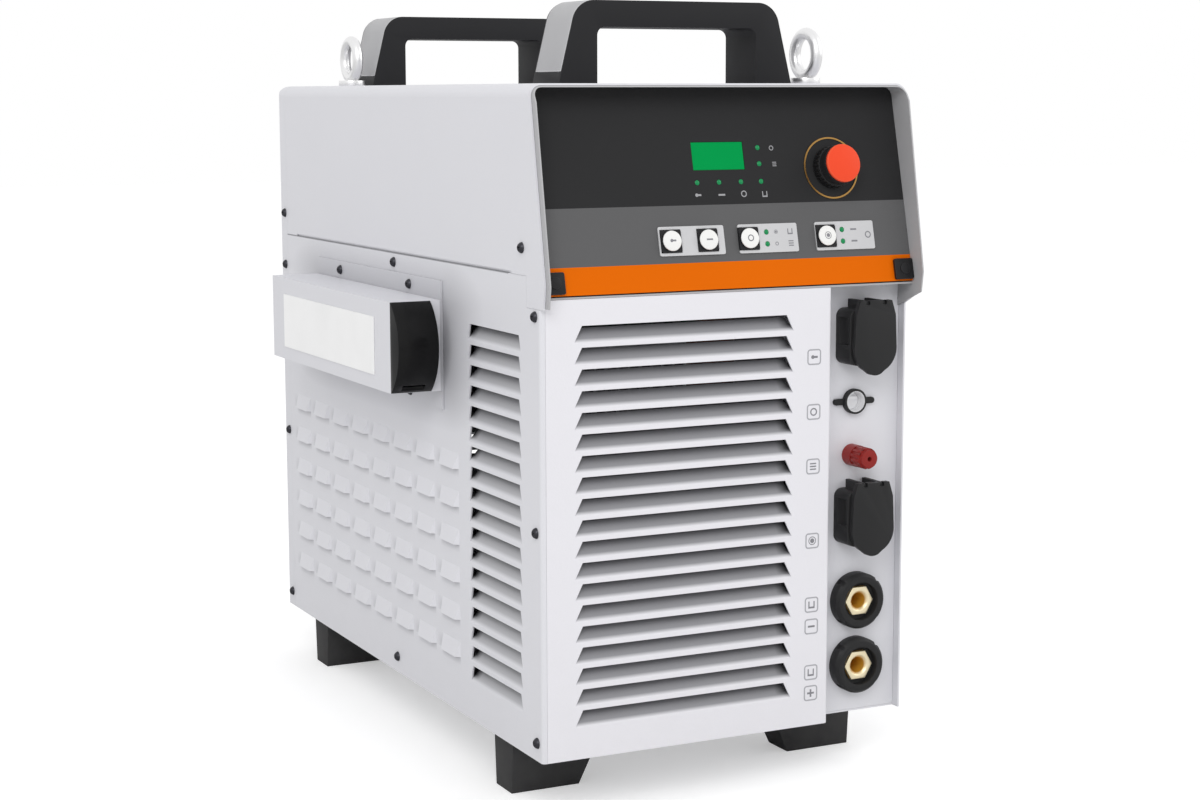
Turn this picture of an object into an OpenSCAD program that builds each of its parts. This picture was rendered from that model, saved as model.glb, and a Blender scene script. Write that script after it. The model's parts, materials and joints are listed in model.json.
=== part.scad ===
// Plasma cutter power unit with a built-in compressor: sheet steel cabinet on four feet,
// sloped control console, connector column, side air intake, two carrying handles.
// Millimetres, +Z up, front towards -Y. The origin is on the floor, at the centre of the
// four bolt holes in the feet.

/* [Cabinet] */
// Width across the side panels
cab_w = 338; // [280:1:410]
// Length from the louvre panel to the rear panel
cab_l = 620; // [590:1:760]
// Height without feet and handles
cab_h = 522; // [470:1:640]
// Thickness of the sheet steel
sheet = 1.5; // [1:0.1:2]
// Outer bend radius of the folded corners
bend_r = 3; // [2.5:0.5:6]
// Gap between sheets and parts that lie face to face
fit = 0.2; // [0.1:0.05:0.3]
// Height of the seam between the side panels and the top cover
seam_h = 377; // [310:1:455]
// Width of the shadow gap along the seam
seam_gap = 2; // [1:0.5:3]
// Width of the rear panel's folded strips
strip_w = 20; // [17:0.5:26]

/* [Feet] */
// Height of the feet
foot_h = 48; // [35:1:60]
// Thickness of one foot along the cabinet, at its top
foot_t = 38; // [30:1:46]
// Distance of the front foot's centre from the louvre panel
foot_front = 96; // [80:1:120]
// Distance of the rear foot's centre from the rear panel
foot_rear = 74; // [60:1:100]
// Distance of the foot's bolt from the side of the cabinet
foot_bolt_in = 45; // [38:1:54]
// Radius of the bolt hole through the foot
foot_bolt_r = 4.5; // [3.5:0.5:6]

/* [Louvres] */
// Height of a large louvre slot
slot_h = 13.5; // [10:0.5:14]
// Distance from one large louvre to the next
slot_pitch = 16.7; // [15.5:0.1:20]
// Number of louvres in the front panel
front_slots = 19; // [8:1:19]
// Number of large louvres in a side panel
side_slots = 18; // [8:1:18]
// Angle at which the louvre blades lean inwards
blade_angle = 34; // [25:1:45]
// Columns of small pressed hoods in a side panel
hood_columns = 8; // [3:1:8]
// Rows of small pressed hoods in a side panel
hood_rows = 6; // [2:1:6]
// How far a small hood stands out of the panel
hood_bulge = 4; // [2.5:0.5:5]

/* [Console] */
// Height of the sloped console, from the cabinet's top to its floor
console_h = 162; // [158:1:176]
// Slope of the control face
face_tilt = 13.4; // [11:0.1:16]
// Width of the display window
display_w = 46; // [36:1:54]
// Height of the display window
display_h = 22; // [18:1:24]
// Diameter of a push button
button_d = 16; // [12:0.5:17]
// Travel of a push button
button_travel = 0.6; // [0.3:0.1:0.8]
// Diameter of the setting dial
dial_d = 34; // [28:1:40]
// Height of the setting dial above the face
dial_h = 22.5; // [18:0.5:28]

/* [Connectors] */
// Width of the recessed connector panel
conn_w = 80; // [76:1:88]
// Depth of the connector panel's recess
recess = 22; // [18:0.5:24]
// Radius of an output socket's housing
output_r = 23.5; // [20:0.5:25.5]
// Radius of the pin hole in an output socket
output_bore_r = 6.6; // [5:0.1:8]
// Height of a socket lid
lid_h = 61; // [54:1:64]
// Widest width of a socket lid
lid_w = 40; // [36:1:42]
// Radius of the control socket's mouth
control_bore_r = 8.2; // [7:0.1:9.4]

/* [Air intake] */
// Length of the air intake box
intake_l = 310; // [240:1:340]
// Height of the air intake box
intake_h = 76; // [60:1:84]
// How far the air intake box stands out of the side
intake_d = 47; // [36:1:58]

/* [Handles] */
// Height of the carrying handles
handle_h = 66; // [60:1:82]
// Width of a handle at its base
handle_w = 214; // [190:1:250]
// Height of the hand opening
grip_h = 45; // [38:1:48]
// Width of the hand opening
grip_w = 146; // [120:1:160]

/* [Rear] */
// Side of the square fan frame
fan_size = 150; // [130:1:172]
// Radius of the mains cable
cable_r = 7; // [5:0.5:9]

/* [Hidden] */

$fn = 48;
eps = 0.01;        // small overlap that fuses pieces of one solid
run = 0.05;        // radial clearance of a turning or sliding fit
clear = 0.3;       // gap between neighbouring moulded parts

// The cabinet frame: x from the middle, y back from the louvre panel, z up from the tray.
front_y = -(foot_front + cab_l - foot_rear) / 2;
hw = cab_w / 2;                      // outer face of the side panels
inn = hw - sheet;                    // inner face of the side panels
fl_out = inn - fit;                  // outer face of the flanges behind them
fl_in = fl_out - sheet;              // inner face of those flanges
panel_rear = cab_l - strip_w - fit;  // rear edge of side panels and cover
tab_rear = cab_l - 4;                // rear end of the tabs behind the rear strips
tab_front = panel_rear - 12;
floor_z = cab_h - console_h;         // underside of the console
return_w = bend_r + 1;               // left side panel's return on the front
corner_r = 10;                       // radius of the cover's long edges
rear_top_r = 8;                      // radius of the rear panel's top edge

// Outline of the console's lining, as [y, z], from the cover's top round to its chin.
// The cover's cheeks end behind its front edge.
cheek_top = [19, cab_h];
cheek_upper = [10.5, cab_h - 14];
cheek_lower = [-14, cab_h - 151];
cheek_heel = [-11.6, floor_z - 7];
left_chin = [25, floor_z - 7];
right_chin = [recess, floor_z - 21];
cheek_back = [6.2, 0];               // from the lining's edge to the edge of the cheek
sheet_heel = cheek_heel + cheek_back;
console_rear = 62;                   // rear end of the lining

// The sloped face: x across, s down the slope from face_y, face_z, n out of it.
face_y = 34;
face_z = cab_h - 15;
overlay_t = 0.8;
plate_t = 3;
plate_back = overlay_t + fit + plate_t;                     // depth of the plate's back
console_floor_t = 1.5;
face_end = (face_z - floor_z - console_floor_t - clear - plate_back * sin(face_tilt))
    / cos(face_tilt);
lining_t = 1.2;
face_inset = sheet + fit + lining_t + clear;                // from the cover to the face
board_n = -14;                                              // front of the control board

// Things on the sloped face, as [x, s].
display_at = [-3.4, 42.7];
dial_at = [99.4, 54.1];
button_s = 109.5;
button_x = [-53.8, -21.3, 15.6, 87];
plates = [[-35.2, 58], [33.6, 54], [105, 55]];              // [x, width] of each button plate
plate_h = 23;
face_lamps = [[33.4, 36.5], [33.4, 49.5], [-24.4, 63.7], [-4.8, 63.7], [15, 63.7], [33.4, 63.7]];
plate_lamps = [for (x = [32.3, 102.6]) for (s = [104.7, 114.2]) [x, s]];
lamp_r = 2;
button_base = 18;
button_body = 14;
stem_r = 3;
cap_gap = button_travel + 0.1;
plate_top = 1.1;                                            // top of the button plates
base_top = 2;                                               // top of the button housings
boss_at = [for (x = [-130, 0, 130]) for (s = [8, 90]) [x, s]];

// The connector column.
conn_x = hw - conn_w;                // left edge of the connector panel
column_x = hw - 41.5;                // middle of the lidded sockets and of the outputs
control_x = hw - 45.2;
pilot_x = hw - 46.3;
lid_z = [floor_z - 12, floor_z - 161.5];          // top edge of each lid
control_z = floor_z - 97;
pilot_z = floor_z - 141.5;
negative_z = 96;
positive_z = 41;
socket_r = 17;                       // barrel behind a lidded socket
socket_w = 42;
socket_h = 46;
socket_drop = 7;                     // from a lid's top to the top of its body
cavity_r = 14;
pin_r = 2;
pin_y = -1;
pin_drop = 3.3;                      // from a lid's top to its pin
control_rim = recess - 5;            // front of the control socket
control_step = recess + 2;           // bottom of its mouth
control_neck_r = control_bore_r + 1;
control_core_r = control_bore_r - 0.8;
post_front = recess - 12;            // front of the pilot post's flange
post_r = 9;
knuckle_r = 3;
ear_r = 3.2;
output_neck_r = 14.5;
contact_r = 13.4;                    // corner radius of the hexagonal contact

// The louvres.
louvre_left = 28;                    // from the cabinet's side to the front louvres
louvre_right = 35.4;                 // from the front louvres to the connector panel
louvre_slant = 6.8;                  // how much shorter a slot is at its top, each end
front_slot_top = floor_z - 20.5;
side_slot_top = floor_z - 29.7;
side_slot_y = [36, 141];
right_flange_end = side_slot_y[0] - 1;
side_slant = 4;
hood_y = 163.5;                      // front edge of the first hood column
hood_pitch_y = 53.6;
hood_z = 47.5;                       // lower edge of the lowest hood row
hood_pitch_z = 31.9;
hood_l = 38;
hood_h = 13;

// The air intake box.
intake_y = 193.5;
intake_z = 269;
intake_flange = 16;
intake_strip = 11;                   // strip of sheet between the hood and the cabinet
hood_depth = 19;                     // how far the hood bulges forward
intake_wall = 1.5;

// Cover screws, as [y, z]: on the front flange, the rear strip, the tray and the seam.
screw_r = 1.9;
screw_head_r = 4.4;
screw_head_h = 3.6;
screw_l = 7;
rear_screw_y = cab_l - 14;
panel_screw_z = [14.6, 180.5];
upper_screw_z = seam_h - 30;
cover_screw_z = seam_h + 21;
left_front_y = 9.6;
right_front_y = (recess + right_flange_end) / 2 + 1;
cheek_screw = [33, floor_z + 38];
mid_y = cab_l / 2;
seam_screw_z = seam_h - 8;
rear_points = concat([for (z = panel_screw_z) [rear_screw_y, z]],
    [[rear_screw_y, upper_screw_z], [rear_screw_y, cover_screw_z]]);
mid_points = [[mid_y, panel_screw_z[0]], [mid_y - 4, seam_screw_z]];
left_points = [for (z = concat(panel_screw_z, [upper_screw_z])) [left_front_y, z]];
right_points = [for (z = concat(panel_screw_z, [upper_screw_z - 20])) [right_front_y, z]];
intake_points = [for (y = [72, 246.5]) for (z = [-8, intake_h + 8])
    [intake_y + y * intake_l / 310, intake_z + z]];

// Handles, eyes and feet.
handle_y = [97, cab_l - 102];        // front edge of each handle
handle_t = [51, 60];                 // its depth
handle_top_w = handle_w - 24;
handle_corner = 20;
trim_t = 2.2;
handle_base_h = 9;                   // dark strip below the trim
handle_bolt_x = (handle_w + grip_w) / 4;
eye_at = [[hw - 34, 120], [-hw + 41, cab_l - 101]];
eye_ring_r = 17.5;
eye_wire_r = 5;
eye_collar_r = 12.5;
eye_collar_h = 5;
eye_shank_r = 5;
eye_z = cab_h + fit + eye_collar_h + eye_ring_r + 2;
foot_out = 9;                        // from the cabinet's side to a foot's outer face
foot_in = [69.5, 91.5];              // to its inner end, at the bottom and at the top
foot_taper = 3.5;                    // how much thinner a foot is at its bottom, each side

// The rear.
rear_in = cab_l - sheet - fit;       // plane against which rear parts stand inside
fan_z = cab_h - 55 - fan_size / 2;
fan_depth = 38;
fan_bore_r = fan_size / 2 - 4;
fan_hub_r = 27;
fan_pin_r = 3;
blades = 7;
breaker_at = [95, 96];
breaker_w = 54;
breaker_h = 46;
gland_at = [-95, 84];
gland_r = 11;
earth_at = [-40, 52];
earth_r = 4;
rear_slots = 6;
rear_slot_top = 226;
rear_slot_hw = 55;

// The inside.
shelf_z = 236;
shelf_y = [170, cab_l - 66];
shelf_hw = hw - 13;
sink_hw = 62;
sink_y = [196, cab_l - 180];
sink_h = 58;
fins = 12;
motor_r = 52;
motor_y = [210, 370];
motor_z = 92;
mount_h = 26;

// ---------------------------------------------------------------- helpers

module cabinet() {
    translate([0, front_y, foot_h]) children();
}

// Extrudes an outline given in y and z along x.
module along_x(x0, x1) {
    translate([x0, 0, 0]) rotate([90, 0, 90]) linear_extrude(x1 - x0) children();
}

// Extrudes an outline given in x and z along y.
module along_y(y0, y1) {
    translate([0, y1, 0]) rotate([90, 0, 0]) linear_extrude(y1 - y0) children();
}

module along_z(z0, z1) {
    translate([0, 0, z0]) linear_extrude(z1 - z0) children();
}

module area(x0, x1, y0, y1) {
    translate([x0, y0]) square([x1 - x0, y1 - y0]);
}

module block(x0, x1, y0, y1, z0, z1) {
    translate([x0, y0, z0]) cube([x1 - x0, y1 - y0, z1 - z0]);
}

module round_rect(w, h, r) {
    area(-w / 2 + r, w / 2 - r, -h / 2, h / 2);
    area(-w / 2, w / 2, -h / 2 + r, h / 2 - r);
    for (x = [-1, 1], y = [-1, 1]) {
        translate([x * (w / 2 - r), y * (h / 2 - r)]) circle(r);
    }
}

// A quarter ring of sheet: a bend between two flat walls, in the third quadrant.
module bend(r) {
    difference() {
        intersection() {
            circle(r);
            area(-r, 0, -r, 0);
        }
        circle(r - sheet);
    }
}

// A cylinder along y from y0 to y1.
module rod_y(r, y0, y1, facets = 48) {
    translate([0, y1, 0]) rotate([90, 0, 0]) cylinder(r = r, h = y1 - y0, $fn = facets);
}

module rod_x(r, x0, x1) {
    translate([x0, 0, 0]) rotate([0, 90, 0]) cylinder(r = r, h = x1 - x0);
}

module rod_z(r, z0, z1) {
    translate([0, 0, z0]) cylinder(r = r, h = z1 - z0);
}

// Holes along x at [y, z] points.
module side_holes(points, x0, x1, r) {
    for (p = points) {
        translate([0, p[0], p[1]]) rod_x(r, x0, x1);
    }
}

// Puts children at x, s on the sloped face, with z out of the face.
module on_face(x, s) {
    cabinet() translate([0, face_y, face_z]) rotate([90 - face_tilt, 0, 0])
        translate([x, -s, 0]) children();
}

function arc(c, r, a0, a1, n) =
    [for (i = [0:n]) c + r * [cos(a0 + (a1 - a0) * i / n), sin(a0 + (a1 - a0) * i / n)]];

// ---------------------------------------------------------------- louvres

// The slots of a louvre field as trapezoids, [u, z]: u0 and u1 are the bottom ends.
module slot_field(u0, u1, top, count, slant, inset = 0) {
    for (i = [0:count - 1]) {
        z = top - i * slot_pitch;
        polygon([[u0 + inset, z - slot_h], [u1 - inset, z - slot_h],
            [u1 - slant - inset, z - inset], [u0 + slant + inset, z - inset]]);
    }
}

// The blades of the field in cross-section, [depth, z]: each leaves the lower edge of
// its slot and leans inwards.
module blade_field(top, count) {
    reach = slot_h * sin(blade_angle);
    rise = slot_h * cos(blade_angle);
    for (i = [0:count - 1]) {
        z = top - i * slot_pitch - slot_h;
        polygon([[0, z - 0.6], [sheet, z - 0.6], [sheet + reach, z + rise],
            [reach, z + rise], [0, z + 0.4]]);
    }
}

// Small hoods pressed outwards: crossing a comb of wedges with a comb of trapezoids
// gives the whole field.
module hood_wedges(wall, inside) {
    for (row = [0:hood_rows - 1]) {
        z = hood_z + row * hood_pitch_z;
        polygon([[-inside, z + hood_h - 2 * wall], [0, z + hood_h - 2 * wall],
            [hood_bulge - wall, z - wall / 10], [-inside, z - wall / 10]]);
    }
}

module hood_plan(wall) {
    for (column = [0:hood_columns - 1]) {
        y0 = hood_y + column * hood_pitch_y + wall;
        y1 = hood_y + column * hood_pitch_y + hood_l - wall;
        polygon([[-sheet - 1, y0], [0, y0], [hood_bulge, y0 + hood_bulge],
            [hood_bulge, y1 - hood_bulge], [0, y1], [-sheet - 1, y1]]);
    }
}

// All hoods of the left panel; a wall above 0 gives the hollows inside them instead.
module hoods(wall, inside) {
    translate([-hw, 0, 0]) mirror([1, 0, 0]) intersection() {
        along_y(0, cab_l) hood_wedges(wall, inside);
        along_z(0, cab_h) hood_plan(wall);
    }
}

// ---------------------------------------------------------------- enclosure

module base_tray() {
    foot_x_mid = hw - foot_bolt_in;
    front_x = [-hw + return_w + sheet + 2 * fit, conn_x - bend_r - fit];
    color("gainsboro") cabinet() difference() {
        union() {
            along_z(0, sheet) difference() {
                area(-fl_out, fl_out, sheet + fit, rear_in);
                area(-hw, -fl_in + 1, 0, recess + 2);
                area(-hw, front_x[0], 0, 2 * (sheet + fit));
                area(front_x[1], hw, 0, bend_r + fit);
                area(conn_x - sheet - fit, hw, 0, recess);
                for (x = [-hw, fl_out - bend_r]) {
                    area(x, x + bend_r + sheet + fit, cab_l - 2 * bend_r, cab_l);
                }
            }
            for (side = [-1, 1]) {
                block(min(side * fl_out, side * fl_in), max(side * fl_out, side * fl_in),
                    recess + sheet + 22, tab_front - 2, 0, 28);
            }
            block(front_x[0] + 1, front_x[1] - 1, sheet + fit, 2 * sheet + fit, 0, 22);
            block(-fl_in + 4, fl_in - 4, rear_in - sheet, rear_in, 0, 22);
        }
        for (x = [-1, 1], y = [foot_front, cab_l - foot_rear]) {
            translate([x * foot_x_mid, y, 0]) rod_z(foot_bolt_r, -1, sheet + 1);
        }
        side_holes([mid_points[0]], -hw, hw, screw_r + 0.1);
    }
}

// Lower side panel, drawn for the left side with its outer face at x = -hw.
module side_panel(front, chin, screws) {
    chin_slope = (chin[1] - sheet_heel[1]) / (chin[0] - sheet_heel[0]);
    front_top = sheet_heel[1] + chin_slope * (front - sheet_heel[0]) - fit;
    difference() {
        union() {
            along_x(-hw, -inn) difference() {
                polygon([[front, 0], [panel_rear, 0], [panel_rear, seam_h - fit / 2],
                    [chin[0] + fit, seam_h - fit / 2], [chin[0] + fit, chin[1] - fit],
                    [front, front_top]]);
                slot_field(side_slot_y[0], side_slot_y[1], side_slot_top, side_slots,
                    side_slant);
            }
            intersection() {
                translate([-hw, 0, 0]) along_y(side_slot_y[0] - 1, side_slot_y[1] + 1)
                    blade_field(side_slot_top, side_slots);
                along_x(-hw, 0) slot_field(side_slot_y[0] - 0.4, side_slot_y[1] + 0.4,
                    side_slot_top, side_slots, side_slant);
            }
            hoods(0, sheet / 2);
            block(-inn - eps, -fl_in, tab_front, panel_rear - 2, 4, seam_h - 12);
            block(-fl_out, -fl_in, tab_front, tab_rear, 4, seam_h - 12);
        }
        hoods(1.1, sheet + 1);
        side_holes(concat(screws, mid_points, rear_points), -hw - 1, -fl_in + 1,
            screw_r + 0.2);
    }
}

// The left panel's front edge folds round the corner on to the front.
module left_side_panel() {
    color("gainsboro") cabinet() difference() {
        union() {
            side_panel(bend_r, left_chin, concat(left_points, intake_points));
            along_z(0, sheet_heel[1] - fit) {
                translate([-hw + bend_r, bend_r]) bend(bend_r);
                area(-hw + bend_r, -hw + return_w, 0, sheet);
            }
        }
        translate([0, intake_y + 110, intake_z + intake_h / 2]) rod_x(20, -hw - 1, -inn + 1);
    }
}

module right_side_panel() {
    color("gainsboro") cabinet() mirror([1, 0, 0])
        side_panel(recess - 8, right_chin, right_points);
}

module cover_section(wall, low) {
    area(-hw + wall, hw - wall, low, cab_h - corner_r);
    area(-hw + corner_r, hw - corner_r, low, cab_h - wall);
    for (side = [-1, 1]) {
        translate([side * (hw - corner_r), cab_h - corner_r]) circle(corner_r - wall);
    }
}

module cover_outline(chin) {
    polygon([[panel_rear, seam_h + fit / 2], [panel_rear, cab_h], cheek_top,
        cheek_upper + cheek_back, cheek_lower + cheek_back, sheet_heel, chin,
        [chin[0], seam_h + fit / 2]]);
}

module top_cover() {
    tongue_z = seam_h - 16;
    low = right_chin[1] - 1;
    top_tab_rear = cab_l - rear_top_r - 1;
    color("gainsboro") cabinet() difference() {
        union() {
            intersection() {
                along_y(cheek_lower[0] - 1, panel_rear) difference() {
                    cover_section(0, low);
                    cover_section(sheet, low - 1);
                }
                union() {
                    along_x(-hw - 1, 0) cover_outline(left_chin);
                    along_x(0, hw + 1) cover_outline(right_chin);
                }
            }
            for (side = [0, 1]) {
                mirror([side, 0, 0]) {
                    block(-fl_out, -fl_in, 62, tab_front - 2, tongue_z, seam_h + 14);
                    block(-inn - eps, -fl_in, 62, tab_front - 2, seam_h + 4, seam_h + 14);
                    block(-fl_out, -fl_in, tab_front, tab_rear, seam_h + 6, cab_h - 14);
                    block(-inn - eps, -fl_in, tab_front, panel_rear - 2, seam_h + 6, cab_h - 14);
                }
            }
            block(-hw + 18, hw - 18, tab_front, top_tab_rear, cab_h - 2 * sheet - fit,
                cab_h - sheet - fit);
            block(-hw + 18, hw - 18, tab_front, panel_rear - 2, cab_h - 2 * sheet - fit,
                cab_h - sheet + eps);
        }
        for (side = [0, 1]) {
            mirror([side, 0, 0]) block(-hw - 1, -inn - eps, 53, cab_l - 50, seam_h - 1,
                seam_h + seam_gap);
        }
        side_holes([mid_points[1], rear_points[3], cheek_screw], -hw - 1, hw + 1,
            screw_r + 0.2);
        for (p = eye_at) {
            translate([p[0], p[1], 0]) rod_z(eye_shank_r + 0.3, cab_h - 4, cab_h + 1);
        }
        for (h = [0, 1], x = [-1, 1]) {
            translate([x * handle_bolt_x, handle_y[h] + handle_t[h] / 2, 0])
                rod_z(3.3, cab_h - 4, cab_h + 1);
        }
    }
}

// The rear pan: its strips fold forward over the tabs of the cover and side panels.
module rear_pan(wall) {
    intersection() {
        along_z(-1, cab_h - wall) {
            area(-hw + wall, hw - wall, panel_rear - 20, cab_l - bend_r);
            area(-hw + bend_r, hw - bend_r, panel_rear - 20, cab_l - wall);
            for (side = [-1, 1]) {
                translate([side * (hw - bend_r), cab_l - bend_r]) circle(bend_r - wall);
            }
        }
        along_x(-hw, hw) {
            area(panel_rear - 20, cab_l - wall, -1, cab_h - rear_top_r);
            area(panel_rear - 20, cab_l - rear_top_r, -1, cab_h - wall);
            translate([cab_l - rear_top_r, cab_h - rear_top_r]) circle(rear_top_r - wall);
        }
        along_y(panel_rear - 20, cab_l) cover_section(wall, -1);
    }
}

module fan_grille() {
    rings = floor((fan_bore_r - 18) / 8);
    difference() {
        for (i = [0:rings - 1]) {
            difference() {
                circle(20 + i * 8 + 5);
                circle(20 + i * 8);
            }
        }
        for (a = [45, 135]) {
            rotate(a) area(-fan_size, fan_size, -3, 3);
        }
    }
}

module rear_panel() {
    color("gainsboro") cabinet() difference() {
        union() {
            difference() {
                rear_pan(0);
                rear_pan(sheet);
                block(-hw - 1, hw + 1, panel_rear - 30, panel_rear + fit, -2, cab_h + 1);
                block(-hw - 1, hw + 1, 0, cab_l + 1, -2, 0);
            }
            intersection() {
                translate([0, cab_l, 0]) mirror([0, 1, 0]) along_x(-rear_slot_hw, rear_slot_hw)
                    blade_field(rear_slot_top, rear_slots);
                along_y(0, cab_l) slot_field(-rear_slot_hw - 0.4, rear_slot_hw + 0.4,
                    rear_slot_top, rear_slots, side_slant);
            }
        }
        difference() {
            along_y(cab_l - sheet - 1, cab_l + 1) slot_field(-rear_slot_hw, rear_slot_hw,
                rear_slot_top, rear_slots, side_slant);
            translate([0, cab_l, 0]) mirror([0, 1, 0]) along_x(-rear_slot_hw - 1, rear_slot_hw + 1)
                blade_field(rear_slot_top, rear_slots);
        }
        along_y(cab_l - sheet - 1, cab_l + 1) translate([0, fan_z]) fan_grille();
        for (x = [-1, 1], z = [-1, 1]) {
            translate([x * (fan_size / 2 - 8), 0, fan_z + z * (fan_size / 2 - 8)])
                rod_y(2.2, cab_l - sheet - 1, cab_l + 1);
        }
        translate([breaker_at[0], 0, breaker_at[1]]) block(-breaker_w / 2 + 3, breaker_w / 2 - 3,
            cab_l - sheet - 1, cab_l + 1, -breaker_h / 2 + 3, breaker_h / 2 - 3);
        translate([gland_at[0], 0, gland_at[1]]) rod_y(gland_r + fit, cab_l - sheet - 1, cab_l + 1);
        translate([earth_at[0], 0, earth_at[1]]) rod_y(earth_r + fit, cab_l - sheet - 1, cab_l + 1);
        side_holes(rear_points, -hw - 1, -inn + 1, screw_r + 0.2);
        side_holes(rear_points, inn - 1, hw + 1, screw_r + 0.2);
    }
}

// The panel's left edge steps behind the side panel's return and runs on as a flange.
module front_panel_flange() {
    step_x = -hw + return_w + fit;
    step_y = sheet + fit;
    corner = bend_r + fit;
    inset = 0.4 * sheet;
    polygon([[step_x + sheet, 0], [step_x + sheet, step_y + sheet],
        [-hw + corner + inset, step_y + sheet], [-fl_in, corner + inset], [-fl_in, recess],
        [-fl_out, recess], [-fl_out, corner], [-hw + corner, step_y], [step_x, step_y],
        [step_x, 0]]);
}

module front_louvre_panel() {
    slot_left = -hw + louvre_left;
    slot_right = conn_x - louvre_right;
    color("ghostwhite") cabinet() difference() {
        union() {
            along_z(0, floor_z - fit) {
                front_panel_flange();
                area(-hw + return_w + fit, conn_x - bend_r, 0, sheet);
                translate([conn_x - bend_r, bend_r]) mirror([1, 0]) bend(bend_r);
                area(conn_x - sheet, conn_x, bend_r, recess - fit);
            }
            intersection() {
                along_x(-hw, conn_x) blade_field(front_slot_top, front_slots);
                along_y(0, recess) slot_field(slot_left - 0.4, slot_right + 0.4,
                    front_slot_top, front_slots, louvre_slant);
            }
        }
        difference() {
            along_y(-1, sheet + 1) slot_field(slot_left, slot_right, front_slot_top,
                front_slots, louvre_slant);
            along_x(-hw, conn_x) blade_field(front_slot_top, front_slots);
        }
        side_holes(left_points, -hw, -fl_in + 1, screw_r + 0.1);
    }
}

module connector_panel() {
    top = floor_z - fit;
    low = sheet + fit;
    color("gainsboro") cabinet() difference() {
        union() {
            block(conn_x - sheet, fl_out, recess, recess + sheet, low, top);
            block(fl_in, fl_out, recess, right_flange_end, low, top);
        }
        for (z = lid_z) {
            translate([column_x, 0, z - socket_drop - socket_h / 2])
                rod_y(socket_r + clear, recess - 1, recess + sheet + 1);
        }
        translate([control_x, 0, control_z]) rod_y(control_neck_r + clear, recess - 1, recess + sheet + 1);
        translate([pilot_x, 0, pilot_z]) rod_y(4.2, recess - 1, recess + sheet + 1);
        for (z = [negative_z, positive_z]) {
            translate([column_x, 0, z]) rod_y(output_neck_r + clear, recess - 1,
                recess + sheet + 1);
        }
        side_holes(right_points, fl_in - 1, hw, screw_r + 0.1);
    }
}

// ---------------------------------------------------------------- console

// Outline of the console's lining on one side; it stands clear of the panel below it.
module lining_outline(chin, panel_y) {
    difference() {
        polygon([[console_rear, floor_z], [console_rear, cab_h], cheek_top, cheek_upper,
            cheek_lower, cheek_heel + [0, 1], chin + [0, 1.5], [chin[0], floor_z]]);
        area(panel_y - fit, chin[0] + 1, chin[1], floor_z);
    }
}

// The lining runs round under the cover, from one cheek over the ceiling to the other.
module console_shell() {
    wall = fl_out - lining_t;
    low = right_chin[1];
    floor_front = face_y - face_end * sin(face_tilt) + 1;
    floor_rear = 40;
    color("darkgray") cabinet() difference() {
        union() {
            intersection() {
                along_y(cheek_lower[0], console_rear) difference() {
                    cover_section(sheet + fit, low);
                    cover_section(sheet + fit + lining_t, low - 1);
                }
                union() {
                    along_x(-hw, 0) lining_outline(left_chin, 0);
                    along_x(0, hw) lining_outline(right_chin, recess);
                }
            }
            block(-wall - eps, wall + eps, floor_front, floor_rear, floor_z,
                floor_z + console_floor_t);
        }
        side_holes([cheek_screw], -hw, hw, screw_r + 0.1);
    }
}

module at_lamps(points) {
    for (p = points) {
        translate([p[0], -p[1], 0]) children();
    }
}

// Everything that is cut through the face, as an outline.
module face_cutouts() {
    translate([display_at[0], -display_at[1]]) square([display_w + 2 * clear,
        display_h + 2 * clear], center = true);
    translate([dial_at[0], -dial_at[1]]) circle(4.8);
    for (x = button_x) {
        translate([x, -button_s]) square(button_body + 2 * clear, center = true);
    }
    at_lamps(concat(face_lamps, plate_lamps)) circle(lamp_r + fit);
}

// A layer of the face: the lining's section bounds it at the sides and at the top.
module face_sheet(n0, n1) {
    intersection() {
        on_face(0, 0) along_z(n0, n1) difference() {
            area(-hw, hw, -face_end, cab_h - face_z);
            face_cutouts();
        }
        cabinet() along_y(cheek_lower[0], console_rear) cover_section(face_inset, floor_z);
    }
}

module console_plate() {
    color("#2e2e30") {
        face_sheet(-plate_back, -overlay_t - fit);
        for (p = boss_at) {
            on_face(p[0], p[1]) rod_z(3.5, board_n + fit, -plate_back + eps);
        }
    }
}

module control_overlay() {
    color("#313133") face_sheet(-overlay_t, 0);
}

module display_window() {
    color("mediumseagreen") on_face(display_at[0], display_at[1])
        along_z(-plate_back, -0.3) square([display_w, display_h], center = true);
}

module display_module() {
    color("#1c1c1e") on_face(display_at[0], display_at[1])
        along_z(board_n + fit, -plate_back - fit)
            square([display_w + 5, display_h + 4], center = true);
}

module lamp(top) {
    dome_r = 3;
    rod_z(lamp_r, board_n + fit, top);
    intersection() {
        rod_z(lamp_r, top - eps, top + 2);
        translate([0, 0, top + 0.75 - dome_r]) sphere(dome_r);
    }
}

module indicator_lamps() {
    color("seagreen") on_face(0, 0) {
        at_lamps(face_lamps) lamp(0);
        at_lamps(plate_lamps) lamp(plate_top);
    }
}

module button_plates() {
    color("silver") on_face(0, 0) along_z(0.1, plate_top) difference() {
        for (p = plates) {
            translate([p[0], -button_s]) round_rect(p[1], plate_h, 1.5);
        }
        for (x = button_x) {
            translate([x, -button_s]) square(button_base + 2 * fit, center = true);
        }
        at_lamps(plate_lamps) circle(lamp_r + fit);
    }
}

module button_housings() {
    color("#17171a") for (x = button_x) {
        on_face(x, button_s) difference() {
            union() {
                along_z(0.1, base_top) round_rect(button_base, button_base, 1.5);
                along_z(board_n + fit, 0.2) square(button_body, center = true);
            }
            rod_z(stem_r + run, board_n + 3, base_top + 1);
        }
    }
}

module push_button(x) {
    low = base_top + cap_gap;
    dome_r = 40;
    color("white") on_face(x, button_s) {
        rod_z(stem_r, board_n + 3 + cap_gap + 0.5, low + eps);
        intersection() {
            rod_z(button_d / 2, low, low + 3);
            translate([0, 0, low + 2.2 - dome_r]) sphere(dome_r, $fn = 96);
        }
    }
}

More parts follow.
